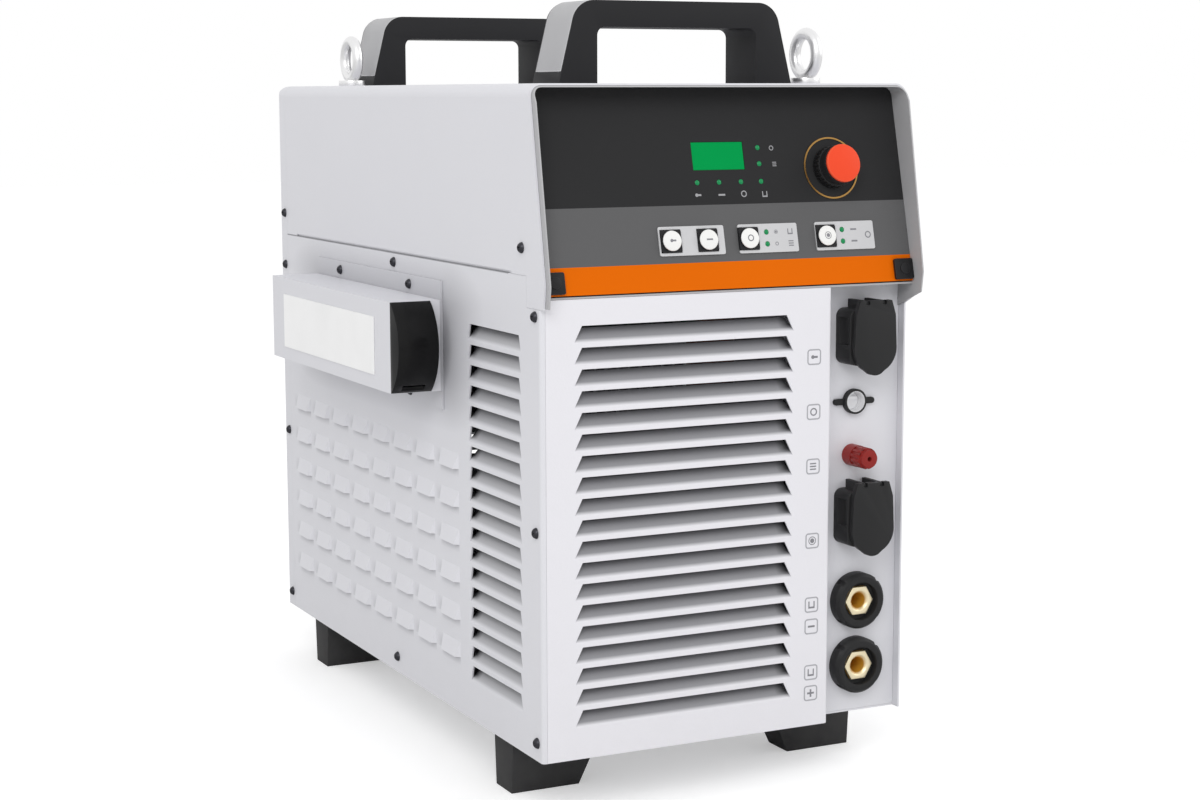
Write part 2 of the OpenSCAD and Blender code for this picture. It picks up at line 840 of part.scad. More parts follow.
module button_1() { push_button(button_x[0]); }
module button_2() { push_button(button_x[1]); }
module button_3() { push_button(button_x[2]); }
module button_4() { push_button(button_x[3]); }

module dial_ring() {
    ring_r = dial_d / 2 + 8.2;
    color("#b08850") on_face(dial_at[0], dial_at[1]) along_z(0.1, 0.7) difference() {
        circle(ring_r, $fn = 96);
        circle(ring_r - 1.3, $fn = 96);
    }
}

module dial_knob() {
    flutes = 28;
    skirt_h = 9;
    body_h = dial_h - 5;
    color("#202022") on_face(dial_at[0], dial_at[1]) difference() {
        union() {
            rod_z(dial_d / 2, 0.8, skirt_h);
            rod_z(dial_d / 2 - 1.2, skirt_h - eps, body_h);
        }
        for (i = [0:flutes - 1]) {
            rotate(i * 360 / flutes) translate([dial_d / 2 + 0.4, 0, 0])
                cylinder(r = 1.1, h = skirt_h + 0.1, $fn = 16);
        }
        rod_z(stem_r + run, 0, body_h - 5);
    }
}

module dial_cap() {
    dome_r = 60;
    low = dial_h - 5 + fit;
    color("orangered") on_face(dial_at[0], dial_at[1]) intersection() {
        rod_z(dial_d / 2 - 1.6, low, dial_h + 2);
        translate([0, 0, dial_h - dome_r]) sphere(dome_r, $fn = 96);
    }
}

module dial_shaft() {
    color("silver") on_face(dial_at[0], dial_at[1]) rod_z(stem_r, board_n + 3, dial_h - 10.5);
}

module dial_encoder() {
    color("#3a3a3e") on_face(dial_at[0], dial_at[1]) difference() {
        union() {
            along_z(board_n + fit, -7) square(14, center = true);
            rod_z(4.5, -7 - eps, 0.4);
        }
        rod_z(stem_r + run, board_n + 2.5, 1);
    }
}

module control_board() {
    color("darkgreen") on_face(0, 0) {
        along_z(board_n - 1.6, board_n) area(-140, 140, -face_end + 12, 0);
        for (x = [-90, -40, 40, 90]) {
            along_z(board_n - 6, board_n - 1.5) area(x - 9, x + 9, -70, -50);
        }
        along_z(board_n - 12, board_n - 1.5) area(-130, -80, -110, -100);
    }
}

module console_blocks() {
    wide = 17.4;
    color("#151517") for (side = [-1, 1]) {
        on_face(side * (hw - face_inset - wide / 2), face_end - 9.5) {
            along_z(0.1, 3) round_rect(wide, 17, 1.5);
            rod_z(4.5, 3 - eps, 5);
        }
    }
}

// ---------------------------------------------------------------- connector column

module column(x, z) {
    cabinet() translate([x, 0, z]) children();
}

// Body of a lidded socket; z = 0 is the lid's top edge.
module socket_body(z) {
    mid = -socket_drop - socket_h / 2;
    front = 0;
    color("#262628") column(column_x, z) difference() {
        union() {
            translate([0, 0, mid]) along_y(front, recess - fit) round_rect(socket_w, socket_h, 7);
            translate([0, 0, mid]) rod_y(socket_r, recess - 1, recess + 26);
            for (side = [-1, 1]) {
                along_x(side * 8 - 1.8, side * 8 + 1.8) {
                    translate([pin_y, -pin_drop]) circle(ear_r);
                    area(pin_y, recess - fit, -pin_drop - ear_r, -pin_drop + ear_r);
                    area(front + 1, recess - fit, -socket_drop - 3, -pin_drop);
                }
            }
        }
        translate([0, 0, mid]) rod_y(cavity_r, front - 1, 15);
        translate([0, pin_y, -pin_drop]) rod_x(pin_r + run, -12, 12);
        for (side = [-1, 1]) {
            translate([side * (socket_w / 2 + 6), 9, mid + 5]) rod_z(9, -11, 11);
        }
        for (a = [0, 120, 240]) {
            translate([6.5 * sin(a), 0, mid + 6.5 * cos(a)]) rod_y(1.6, 14, 22, 20);
        }
    }
}

// Lid outline, [x, z] from the middle of its top edge.
function lid_outline() = concat(
    [[-lid_w / 2 + 5, 0], [-lid_w / 2 + 1.2, -12]],
    arc([0, -lid_h + lid_w / 2 + 2], lid_w / 2, 180, 242, 10),
    arc([0, -lid_h + 12], 12, 244, 296, 6),
    arc([0, -lid_h + lid_w / 2 + 2], lid_w / 2, 298, 360, 10),
    [[lid_w / 2 - 1.2, -12], [lid_w / 2 - 5, 0]]);

module socket_lid(z) {
    back = -0.6;
    front = -6;
    mid = -socket_drop - socket_h / 2;
    color("#2a2a2c") column(column_x, z) difference() {
        union() {
            along_y(front, back) polygon(lid_outline());
            translate([0, pin_y, -pin_drop]) rod_x(knuckle_r, -6, 6);
        }
        translate([0, pin_y, -pin_drop]) rod_x(pin_r + run, -12, 12);
        for (side = [-1, 1]) {
            along_x(side * 8 - 2.1, side * 8 + 2.1) {
                translate([pin_y, -pin_drop]) circle(ear_r + clear);
                area(pin_y, 2, -pin_drop - 8, -pin_drop);
                area(front - 1, 2, -pin_drop, 1);
                area(pin_y - ear_r - clear, pin_y + eps, -pin_drop - 6, -pin_drop);
            }
        }
        translate([0, 0, mid]) rod_y(cavity_r - 1, back - 2, back + 1);
    }
}

module upper_socket_body() { socket_body(lid_z[0]); }
module upper_socket_lid() { socket_lid(lid_z[0]); }
module lower_socket_body() { socket_body(lid_z[1]); }
module lower_socket_lid() { socket_lid(lid_z[1]); }

module lid_pins() {
    color("silver") for (z = lid_z) {
        column(column_x, z) translate([0, pin_y, -pin_drop]) rod_x(pin_r, -9.8, 9.8);
    }
}

module control_socket() {
    wing_x = 17;
    wing_r = 2.6;
    color("#2c2c2e") column(control_x, control_z) difference() {
        union() {
            rod_y(control_bore_r + 2.2, control_rim, recess - fit);
            rod_y(control_neck_r, recess - 1, recess + 17);
            along_y(recess - 2.5, recess - fit) {
                area(-wing_x, wing_x, -wing_r, wing_r);
                for (side = [-1, 1]) {
                    translate([side * wing_x, 0]) circle(wing_r);
                }
            }
        }
        rod_y(control_bore_r, control_rim - 1, control_step);
        rod_y(control_core_r + fit, control_step - 1, recess + 18);
    }
}

module control_insert() {
    color("lightgray") column(control_x, control_z) {
        rod_y(control_core_r, control_step + 2, recess + 15);
        along_y(control_step, control_step + 2 + eps) area(-5.8, 5.8, 1, 3.4);
    }
}

module pilot_post() {
    color("darkred") column(pilot_x, pilot_z) {
        rod_y(post_r, post_front, recess - fit);
        rod_y(4, recess - 1, recess + 12);
        rod_y(2, -2, post_front + 1);
        translate([0, recess + sheet + fit, 0]) rod_y(7, 0, 4, 6);
    }
}

module pilot_post_cap() {
    flutes = 12;
    length = 16;
    back = post_front - clear;
    cap_r = post_r - 0.2;
    color("firebrick") column(pilot_x, pilot_z) difference() {
        union() {
            rod_y(cap_r, back - length + 3, back);
            rod_y(cap_r - 1.4, back - length, back - length + 3 + eps);
        }
        for (i = [0:flutes - 1]) {
            rotate([0, i * 360 / flutes, 0]) translate([cap_r + 0.8, 0, 0])
                rod_y(1.5, back - length + 3, back + 1, 16);
        }
        rod_y(2 + run, back - length - 1, back + 1);
    }
}

module output_housing(z) {
    color("#232325") column(column_x, z) difference() {
        union() {
            rod_y(output_r, recess - 9, recess - fit);
            translate([0, recess - 9 + eps, 0]) rotate([90, 0, 0])
                cylinder(r1 = output_r, r2 = output_r - 2.5, h = 3);
            rod_y(output_neck_r, recess - 1, recess + 22);
        }
        rod_y(16, recess - 13, recess - 5);
        rod_y(contact_r + fit, recess - 6, recess + 24, 6);
        for (a = [0, 90, 180, 270]) {
            rotate([0, a + 45, 0]) translate([output_r + 1, 0, 0])
                rod_y(2.5, recess - 13, recess - 2, 20);
        }
    }
}

module output_contact(z) {
    front = recess - 8.5;
    color("#c9a24a") column(column_x, z) difference() {
        rod_y(contact_r, front, recess + 32, 6);
        rod_y(output_bore_r, front - 1, recess + 22);
        translate([0, front + 2, 0]) rotate([90, 0, 0])
            cylinder(r1 = output_bore_r, r2 = output_bore_r + 2.4, h = 2.4);
    }
}

module negative_housing() { output_housing(negative_z); }
module negative_contact() { output_contact(negative_z); }
module positive_housing() { output_housing(positive_z); }
module positive_contact() { output_contact(positive_z); }

// ---------------------------------------------------------------- air intake

module intake_box() {
    x_out = -hw - fit - intake_d;
    x_in = -hw - fit;
    w = intake_wall;
    color("gainsboro") cabinet() difference() {
        union() {
            difference() {
                block(x_out, x_in, intake_y, intake_y + intake_l, intake_z, intake_z + intake_h);
                block(x_out + w, x_in + 1, intake_y - 1, intake_y + intake_l - w, intake_z + w,
                    intake_z + intake_h - w);
            }
            for (z = [intake_z - intake_flange, intake_z + intake_h - w]) {
                block(x_in - w, x_in, intake_y, intake_y + intake_l, z, z + intake_flange + w);
            }
            block(x_in - intake_strip, x_in, intake_y, intake_y + w, intake_z,
                intake_z + intake_h);
        }
        side_holes(intake_points, x_in - w - 1, x_in + 1, screw_r + 0.2);
    }
}

module intake_plate() {
    x_out = -hw - fit - intake_d;
    color("white") cabinet() block(x_out - fit - 0.8, x_out - fit, intake_y + 37,
        intake_y + intake_l - 35, intake_z + 12, intake_z + intake_h - 15);
}

module intake_hood() {
    x_out = -hw - fit - intake_d;
    x_in = -hw - fit - intake_strip - clear;
    half = intake_h / 2;
    bulge_r = (half * half + hood_depth * hood_depth) / (2 * hood_depth);
    w = intake_wall + fit;
    color("#19191b") cabinet() translate([0, intake_y, intake_z + half]) difference() {
        union() {
            intersection() {
                translate([0, bulge_r - hood_depth, 0]) rod_x(bulge_r, x_out, x_in);
                block(x_out, x_in, -hood_depth - 1, -fit, -half, half);
            }
            block(x_out + w, x_in, -fit - eps, 12, -half + w, half - w);
        }
        intersection() {
            translate([0, bulge_r - hood_depth, 0]) rod_x(bulge_r - 2.5, x_out + 2.5, x_in + 1);
            block(x_out + 2.5, x_in + 1, -hood_depth, 0, -half + 2.5, half - 2.5);
        }
        block(x_out + 2.5 + w, x_in + 1, -1, 13, -half + 2.5 + w, half - 2.5 - w);
        block(x_out + 8, x_in - 8, -hood_depth, -2.5, -half - 1, -half + 7);
    }
}

// ---------------------------------------------------------------- handles, eyes, feet

// Half of the handle's outer outline, [x, z], from the base to the middle of the top.
function handle_half() = concat([[handle_w / 2, 0]],
    arc([handle_top_w / 2 - handle_corner, handle_h - handle_corner], handle_corner, 10, 90, 12));

module handle_outline() {
    side = handle_half();
    n = len(side);
    polygon(concat(side, [for (i = [n - 1:-1:0]) [-side[i][0], side[i][1]]]));
}

module grip_outline() {
    r = 7;
    area(-grip_w / 2, grip_w / 2, -1, grip_h - r);
    area(-grip_w / 2 + r, grip_w / 2 - r, -1, grip_h);
    for (side = [-1, 1]) {
        translate([side * (grip_w / 2 - r), grip_h - r]) circle(r);
    }
}

module trim_outline(side, inset) {
    mirror([side > 0 ? 0 : 1, 0]) intersection() {
        difference() {
            handle_outline();
            translate([-trim_t, -trim_t * 0.35]) handle_outline();
        }
        area(handle_w / 4, handle_w, handle_base_h + inset, handle_h - handle_corner + 8 - inset);
    }
}

module handle(i) {
    margin = 5;
    translate([0, handle_y[i], cab_h + fit]) difference() {
        along_y(0, handle_t[i]) difference() {
            handle_outline();
            grip_outline();
        }
        along_y(margin, handle_t[i] - margin) {
            for (side = [-1, 1]) {
                trim_outline(side, 0);
            }
        }
        for (x = [-1, 1]) {
            translate([x * handle_bolt_x, handle_t[i] / 2, 0]) rod_z(2.8, -1, 16);
        }
    }
}

module front_handle() {
    color("#333335") cabinet() handle(0);
}

module rear_handle() {
    color("#333335") cabinet() handle(1);
}

module handle_trims() {
    margin = 5 + fit;
    color("#b5b5b8") cabinet() for (i = [0, 1], side = [-1, 1]) {
        translate([side * fit, handle_y[i], cab_h + fit])
            along_y(margin, handle_t[i] - margin) intersection() {
                trim_outline(side, fit);
                translate([-side * fit, 0]) handle_outline();
            }
    }
}

module lifting_eyes() {
    color("silver") cabinet() for (p = eye_at) {
        translate([p[0], p[1], 0]) {
            translate([0, 0, eye_z]) rotate([0, 90, 0]) rotate_extrude($fn = 64)
                translate([eye_ring_r, 0]) circle(eye_wire_r, $fn = 32);
            rod_z(eye_collar_r, cab_h + fit, cab_h + fit + eye_collar_h);
            rod_z(eye_shank_r, cab_h - 14, cab_h + fit + eps);
            translate([0, 0, cab_h - sheet - 8.4]) cylinder(r = 9.5, h = 8.2, $fn = 6);
        }
    }
}

module feet() {
    half = foot_t / 2;
    top = foot_h - fit;
    color("#2f2f31") translate([0, front_y, 0]) {
        for (side = [-1, 1], y = [foot_front, cab_l - foot_rear]) {
            difference() {
                intersection() {
                    along_y(y - half, y + half) mirror([side > 0 ? 0 : 1, 0])
                        polygon([[hw - foot_in[0], 0], [hw - foot_out, 0],
                            [hw - foot_out, top], [hw - foot_in[1], top]]);
                    along_x(-hw, hw) polygon([[y - half + foot_taper, 0],
                        [y + half - foot_taper, 0], [y + half, top], [y - half, top]]);
                }
                translate([side * (hw - foot_bolt_in), y, 0]) rod_z(foot_bolt_r, -1, top + 1);
            }
        }
    }
}

// A dome-headed screw whose head sits on the plane x = 0 and points to -x.
module dome_screw() {
    dome_r = (screw_head_r * screw_head_r + screw_head_h * screw_head_h) / (2 * screw_head_h);
    intersection() {
        rod_x(screw_head_r, -screw_head_h - 1, 0);
        translate([dome_r - screw_head_h, 0, 0]) sphere(dome_r);
    }
    rod_x(screw_r, -eps, screw_l);
}

module cabinet_screws() {
    face = hw + fit;
    step = fit + intake_wall;
    color("#1b1b1d") cabinet() {
        for (p = concat(left_points, mid_points, rear_points, [cheek_screw])) {
            translate([-face, p[0], p[1]]) dome_screw();
        }
        for (p = intake_points) {
            translate([-face - step, p[0], p[1]]) dome_screw();
        }
        for (p = concat(right_points, mid_points, rear_points, [cheek_screw])) {
            translate([face, p[0], p[1]]) mirror([1, 0, 0]) dome_screw();
        }
    }
}

// ---------------------------------------------------------------- rear

module fan_frame() {
    back = rear_in;
    front = back - fan_depth;
    color("#28282a") cabinet() translate([0, 0, fan_z]) difference() {
        union() {
            along_y(front, back) difference() {
                round_rect(fan_size, fan_size, 8);
                circle(fan_bore_r);
            }
            along_y(front, front + 4) {
                circle(fan_hub_r - 2);
                for (a = [45, 135]) {
                    rotate(a) area(-fan_bore_r - 3, fan_bore_r + 3, -3, 3);
                }
            }
            rod_y(fan_pin_r, front + 3, back - 4);
        }
        for (x = [-1, 1], z = [-1, 1]) {
            translate([x * (fan_size / 2 - 8), 0, z * (fan_size / 2 - 8)])
                rod_y(2.2, front - 1, back + 1);
        }
    }
}

module fan_rotor() {
    back = rear_in - 3;
    front = rear_in - fan_depth + 5;
    color("#333336") cabinet() translate([0, 0, fan_z]) difference() {
        union() {
            rod_y(fan_hub_r, front, back);
            intersection() {
                rod_y(fan_bore_r - 2.5, front, back);
                for (i = [0:blades - 1]) {
                    rotate([0, i * 360 / blades, 0])
                        translate([fan_hub_r - 3, (front + back) / 2, 0]) rotate([38, 0, 0])
                            block(0, fan_bore_r, -20, 20, -1.2, 1.2);
                }
            }
        }
        rod_y(fan_pin_r + run, front - 1, back + 1);
    }
}

module mains_breaker() {
    y = cab_l + fit;
    color("#d8d8d4") cabinet() translate([breaker_at[0], 0, breaker_at[1]]) difference() {
        union() {
            along_y(y, y + 7) round_rect(breaker_w, breaker_h, 3);
            block(-breaker_w / 2 + 4, breaker_w / 2 - 4, cab_l - 55, y + eps, -breaker_h / 2 + 4,
                breaker_h / 2 - 4);
        }
        block(-18, 18, y - 9, y + 8, -12, 12);
        translate([0, y - 3, 0]) rod_x(2 + run, -21, 21);
    }
}

module breaker_toggle() {
    y = cab_l + fit - 3;
    color("#222224") cabinet() translate([breaker_at[0], y, breaker_at[1]]) {
        rod_x(2, -20.5, 20.5);
        rod_x(5, -17, 17);
        rotate([-25, 0, 0]) along_x(-16, 16) polygon([[0, -3.5], [17, -2.2], [17, 2.2], [0, 3.5]]);
    }
}

module cable_gland() {
    y = cab_l + fit;
    color("#2b2b2d") cabinet() translate([gland_at[0], 0, gland_at[1]]) difference() {
        union() {
            rod_y(gland_r, cab_l - 16, y + 1);
            rod_y(16.5, y, y + 6, 6);
            rod_y(13, y + 6 - eps, y + 16);
            translate([0, y + 24, 0]) rotate([90, 0, 0]) cylinder(r1 = 10.5, r2 = 13, h = 8 + eps);
            rod_y(16.5, cab_l - sheet - 5.2, cab_l - sheet - fit, 6);
        }
        rod_y(cable_r, cab_l - 20, y + 30);
    }
}

module earth_stud() {
    y = cab_l + fit;
    color("#c9a24a") cabinet() translate([earth_at[0], 0, earth_at[1]]) {
        rod_y(earth_r, cab_l - 14, y + 24);
        rod_y(9, y, y + 1.6);
        rod_y(7.5, y + 1.5, y + 7, 6);
        rod_y(7.5, cab_l - sheet - 6, cab_l - sheet - fit, 6);
    }
}

// ---------------------------------------------------------------- inside

module inner_shelf() {
    low = sheet + fit;
    color("lightgray") cabinet() {
        block(-shelf_hw, shelf_hw, shelf_y[0], shelf_y[1], shelf_z - sheet, shelf_z);
        for (side = [0, 1]) {
            mirror([side, 0, 0]) block(-shelf_hw, -shelf_hw + sheet, shelf_y[0], shelf_y[1], low,
                shelf_z);
        }
    }
}

module compressor() {
    mid = (motor_y[0] + motor_y[1]) / 2;
    color("#8f9296") cabinet() {
        translate([0, 0, motor_z]) rod_y(motor_r, motor_y[0], motor_y[1]);
        for (end = [-1, 1]) {
            y = mid + end * 105;
            translate([0, y, 0]) {
                block(-34, 34, -26, 26, motor_z - 40, motor_z + 34);
                for (i = [0:5]) {
                    block(-40, 40, -32, 32, motor_z + 36 + i * 8, motor_z + 40 + i * 8);
                }
                block(-30, 30, -22, 22, motor_z + 33, motor_z + 84);
                block(-36, 36, -28, 28, motor_z + 82, motor_z + 96);
            }
        }
        for (side = [-1, 1]) {
            block(side * 60 - 14, side * 60 + 14, mid - 80, mid + 80, mount_h + fit, mount_h + 4);
            block(side * 48 - 5, side * 48 + 5, mid - 70, mid + 70, mount_h + 1, motor_z - 5);
        }
    }
}

module compressor_mounts() {
    mid = (motor_y[0] + motor_y[1]) / 2;
    color("#1d1d1f") cabinet() for (x = [-60, 60], y = [mid - 66, mid + 66]) {
        translate([x, y, 0]) {
            rod_z(12, sheet + fit, 8);
            rod_z(8.5, 8 - eps, mount_h - 6);
            rod_z(12, mount_h - 6 - eps, mount_h);
        }
    }
}

module heat_sink() {
    pitch = (2 * sink_hw - 3) / (fins - 1);
    color("silver") cabinet() {
        block(-sink_hw, sink_hw, sink_y[0], sink_y[1], shelf_z + sink_h, shelf_z + sink_h + 8);
        for (i = [0:fins - 1]) {
            x = -sink_hw + i * pitch;
            block(x, x + 3, sink_y[0], sink_y[1], shelf_z + fit, shelf_z + sink_h + eps);
        }
    }
}

module main_transformer() {
    x = sink_hw + 44;
    y = sink_y[0] + 90;
    color("#6b5a3a") cabinet() translate([x, y, shelf_z + fit]) {
        difference() {
            block(-30, 30, -45, 45, 0, 76);
            for (side = [-1, 1]) {
                block(-31, 31, side * 22 - 12, side * 22 + 12, 14, 62);
            }
        }
        block(-26, 26, -34 + clear, -10 - clear, 14.3, 61.7);
        block(-26, 26, 10 + clear, 34 - clear, 14.3, 61.7);
    }
}

module power_board() {
    low = shelf_z + sink_h + 8 + fit;
    color("darkgreen") cabinet() {
        for (x = [-50, 50], y = [sink_y[0] + 15, sink_y[1] - 15]) {
            translate([x, y, 0]) rod_z(4, low, low + 12 + eps);
        }
        block(-70, 70, sink_y[0] - 10, sink_y[1] + 10, low + 12, low + 14);
        for (i = [0:3]) {
            translate([-40, sink_y[0] + 30 + i * 44, 0]) rod_z(17, low + 14 - eps, low + 62);
        }
        block(10, 60, sink_y[0] + 20, sink_y[0] + 90, low + 14 - eps, low + 44);
    }
}

// ---------------------------------------------------------------- nodes

base_tray();
left_side_panel();
right_side_panel();
top_cover();
rear_panel();
front_louvre_panel();
connector_panel();
console_shell();
console_plate();
control_overlay();
display_window();
display_module();
indicator_lamps();
button_plates();
button_housings();
button_1();
button_2();
button_3();
button_4();
dial_ring();
dial_knob();
dial_cap();
dial_shaft();
dial_encoder();
control_board();
console_blocks();
upper_socket_body();
upper_socket_lid();
lower_socket_body();
lower_socket_lid();
lid_pins();
control_socket();
control_insert();
pilot_post();
pilot_post_cap();
negative_housing();
negative_contact();
positive_housing();
positive_contact();
intake_box();
intake_plate();
intake_hood();
front_handle();
rear_handle();
handle_trims();
lifting_eyes();
feet();
cabinet_screws();
fan_frame();
fan_rotor();
mains_breaker();
breaker_toggle();
cable_gland();
earth_stud();
inner_shelf();
compressor();
compressor_mounts();
heat_sink();
main_transformer();
power_board();
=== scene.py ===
"""Plasma cutter unit: softened fittings, paint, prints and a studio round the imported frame."""

from __future__ import annotations

import logging
import math
from dataclasses import dataclass, field
from enum import Enum
from typing import Any, Iterable, Sequence

import bmesh
import bpy
from mathutils import Matrix, Vector
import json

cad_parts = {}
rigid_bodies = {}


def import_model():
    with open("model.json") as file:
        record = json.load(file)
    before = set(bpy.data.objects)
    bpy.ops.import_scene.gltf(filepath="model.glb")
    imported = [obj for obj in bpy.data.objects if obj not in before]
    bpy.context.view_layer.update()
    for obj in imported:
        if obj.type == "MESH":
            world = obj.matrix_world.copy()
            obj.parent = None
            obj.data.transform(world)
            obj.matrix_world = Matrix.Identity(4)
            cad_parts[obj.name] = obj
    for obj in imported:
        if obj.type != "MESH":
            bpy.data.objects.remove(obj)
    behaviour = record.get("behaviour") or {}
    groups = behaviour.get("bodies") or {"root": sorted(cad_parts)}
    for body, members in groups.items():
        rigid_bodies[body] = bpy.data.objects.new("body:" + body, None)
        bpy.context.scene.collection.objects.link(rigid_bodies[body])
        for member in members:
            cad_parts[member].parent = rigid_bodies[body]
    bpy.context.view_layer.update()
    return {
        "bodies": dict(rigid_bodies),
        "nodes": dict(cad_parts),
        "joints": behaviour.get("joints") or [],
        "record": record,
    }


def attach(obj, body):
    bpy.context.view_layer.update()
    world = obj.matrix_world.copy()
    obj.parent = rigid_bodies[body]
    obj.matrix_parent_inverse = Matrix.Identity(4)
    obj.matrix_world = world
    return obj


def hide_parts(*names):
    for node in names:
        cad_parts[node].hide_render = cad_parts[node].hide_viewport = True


LOG = logging.getLogger("plasma_cutter")
MM = 0.001
UP = Vector((0, 0, 1))

# The attribute that marks the worn faces of a rounded edge.
WEAR = "edge_wear"

# Corners that lie closer together than this are one corner.
MERGE = 2e-6

# A cut that passes a corner closer than this goes through it.
TOUCH = 1e-7


class Body(str, Enum):
    """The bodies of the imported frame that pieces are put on."""

    CABINET = "cabinet"
    DIAL = "dial"
    BUTTON_1 = "button_1"
    BUTTON_2 = "button_2"
    BUTTON_3 = "button_3"
    BUTTON_4 = "button_4"
    UPPER_LID = "upper_lid"
    LOWER_LID = "lower_lid"
    POST_CAP = "post_cap"
    BREAKER = "breaker_switch"


def linear(code: str) -> tuple[float, float, float, float]:
    """Turn an sRGB colour code into a linear colour.

    Args:
        code: Six hexadecimal digits.

    Returns:
        Red, green, blue and an alpha of one.
    """
    parts = [int(code[i : i + 2], 16) / 255 for i in (0, 2, 4)]
    red, green, blue = [p / 12.92 if p <= 0.04045 else ((p + 0.055) / 1.055) ** 2.4 for p in parts]
    return red, green, blue, 1.0


# ------------------------------------------------------------------ shader maths


class Term:
    """A shader socket that takes part in arithmetic: each operator adds a Math node."""

    def __init__(self, graph: Graph, socket: bpy.types.NodeSocket) -> None:
        """Keep the socket and the graph that it belongs to."""
        self.graph = graph
        self.socket = socket

    def __add__(self, other: Term | float) -> Term:
        """Add two values."""
        return self.graph.maths("ADD", self, other)

    __radd__ = __add__

    def __sub__(self, other: Term | float) -> Term:
        """Take a value from this one."""
        return self.graph.maths("SUBTRACT", self, other)

    def __rsub__(self, other: float) -> Term:
        """Take this value from a number."""
        return self.graph.maths("SUBTRACT", other, self)

    def __mul__(self, other: Term | float) -> Term:
        """Multiply two values."""
        return self.graph.maths("MULTIPLY", self, other)

    __rmul__ = __mul__

    def __truediv__(self, other: Term | float) -> Term:
        """Divide this value by another."""
        return self.graph.maths("DIVIDE", self, other)

    def __gt__(self, other: Term | float) -> Term:
        """One where this value is the greater."""
        return self.graph.maths("GREATER_THAN", self, other)

    def __lt__(self, other: Term | float) -> Term:
        """One where this value is the smaller."""
        return self.graph.maths("LESS_THAN", self, other)

    def __pow__(self, other: float) -> Term:
        """Raise this value to a power."""
        return self.graph.maths("POWER", self, other)


@dataclass(frozen=True)
class Blotch:
    """A noise pattern on a surface.

    Its scale is in blotches to the metre, and its detail in octaves of finer noise. Its amount is
    what the brightest blotch counts for: a share of a mix, a change of roughness or, in a relief,
    a depth in metres. A stretch scales each axis, for a grain that runs one way.
    """

    scale: float
    detail: float
    amount: float = 1.0
    stretch: tuple[float, float, float] | None = None


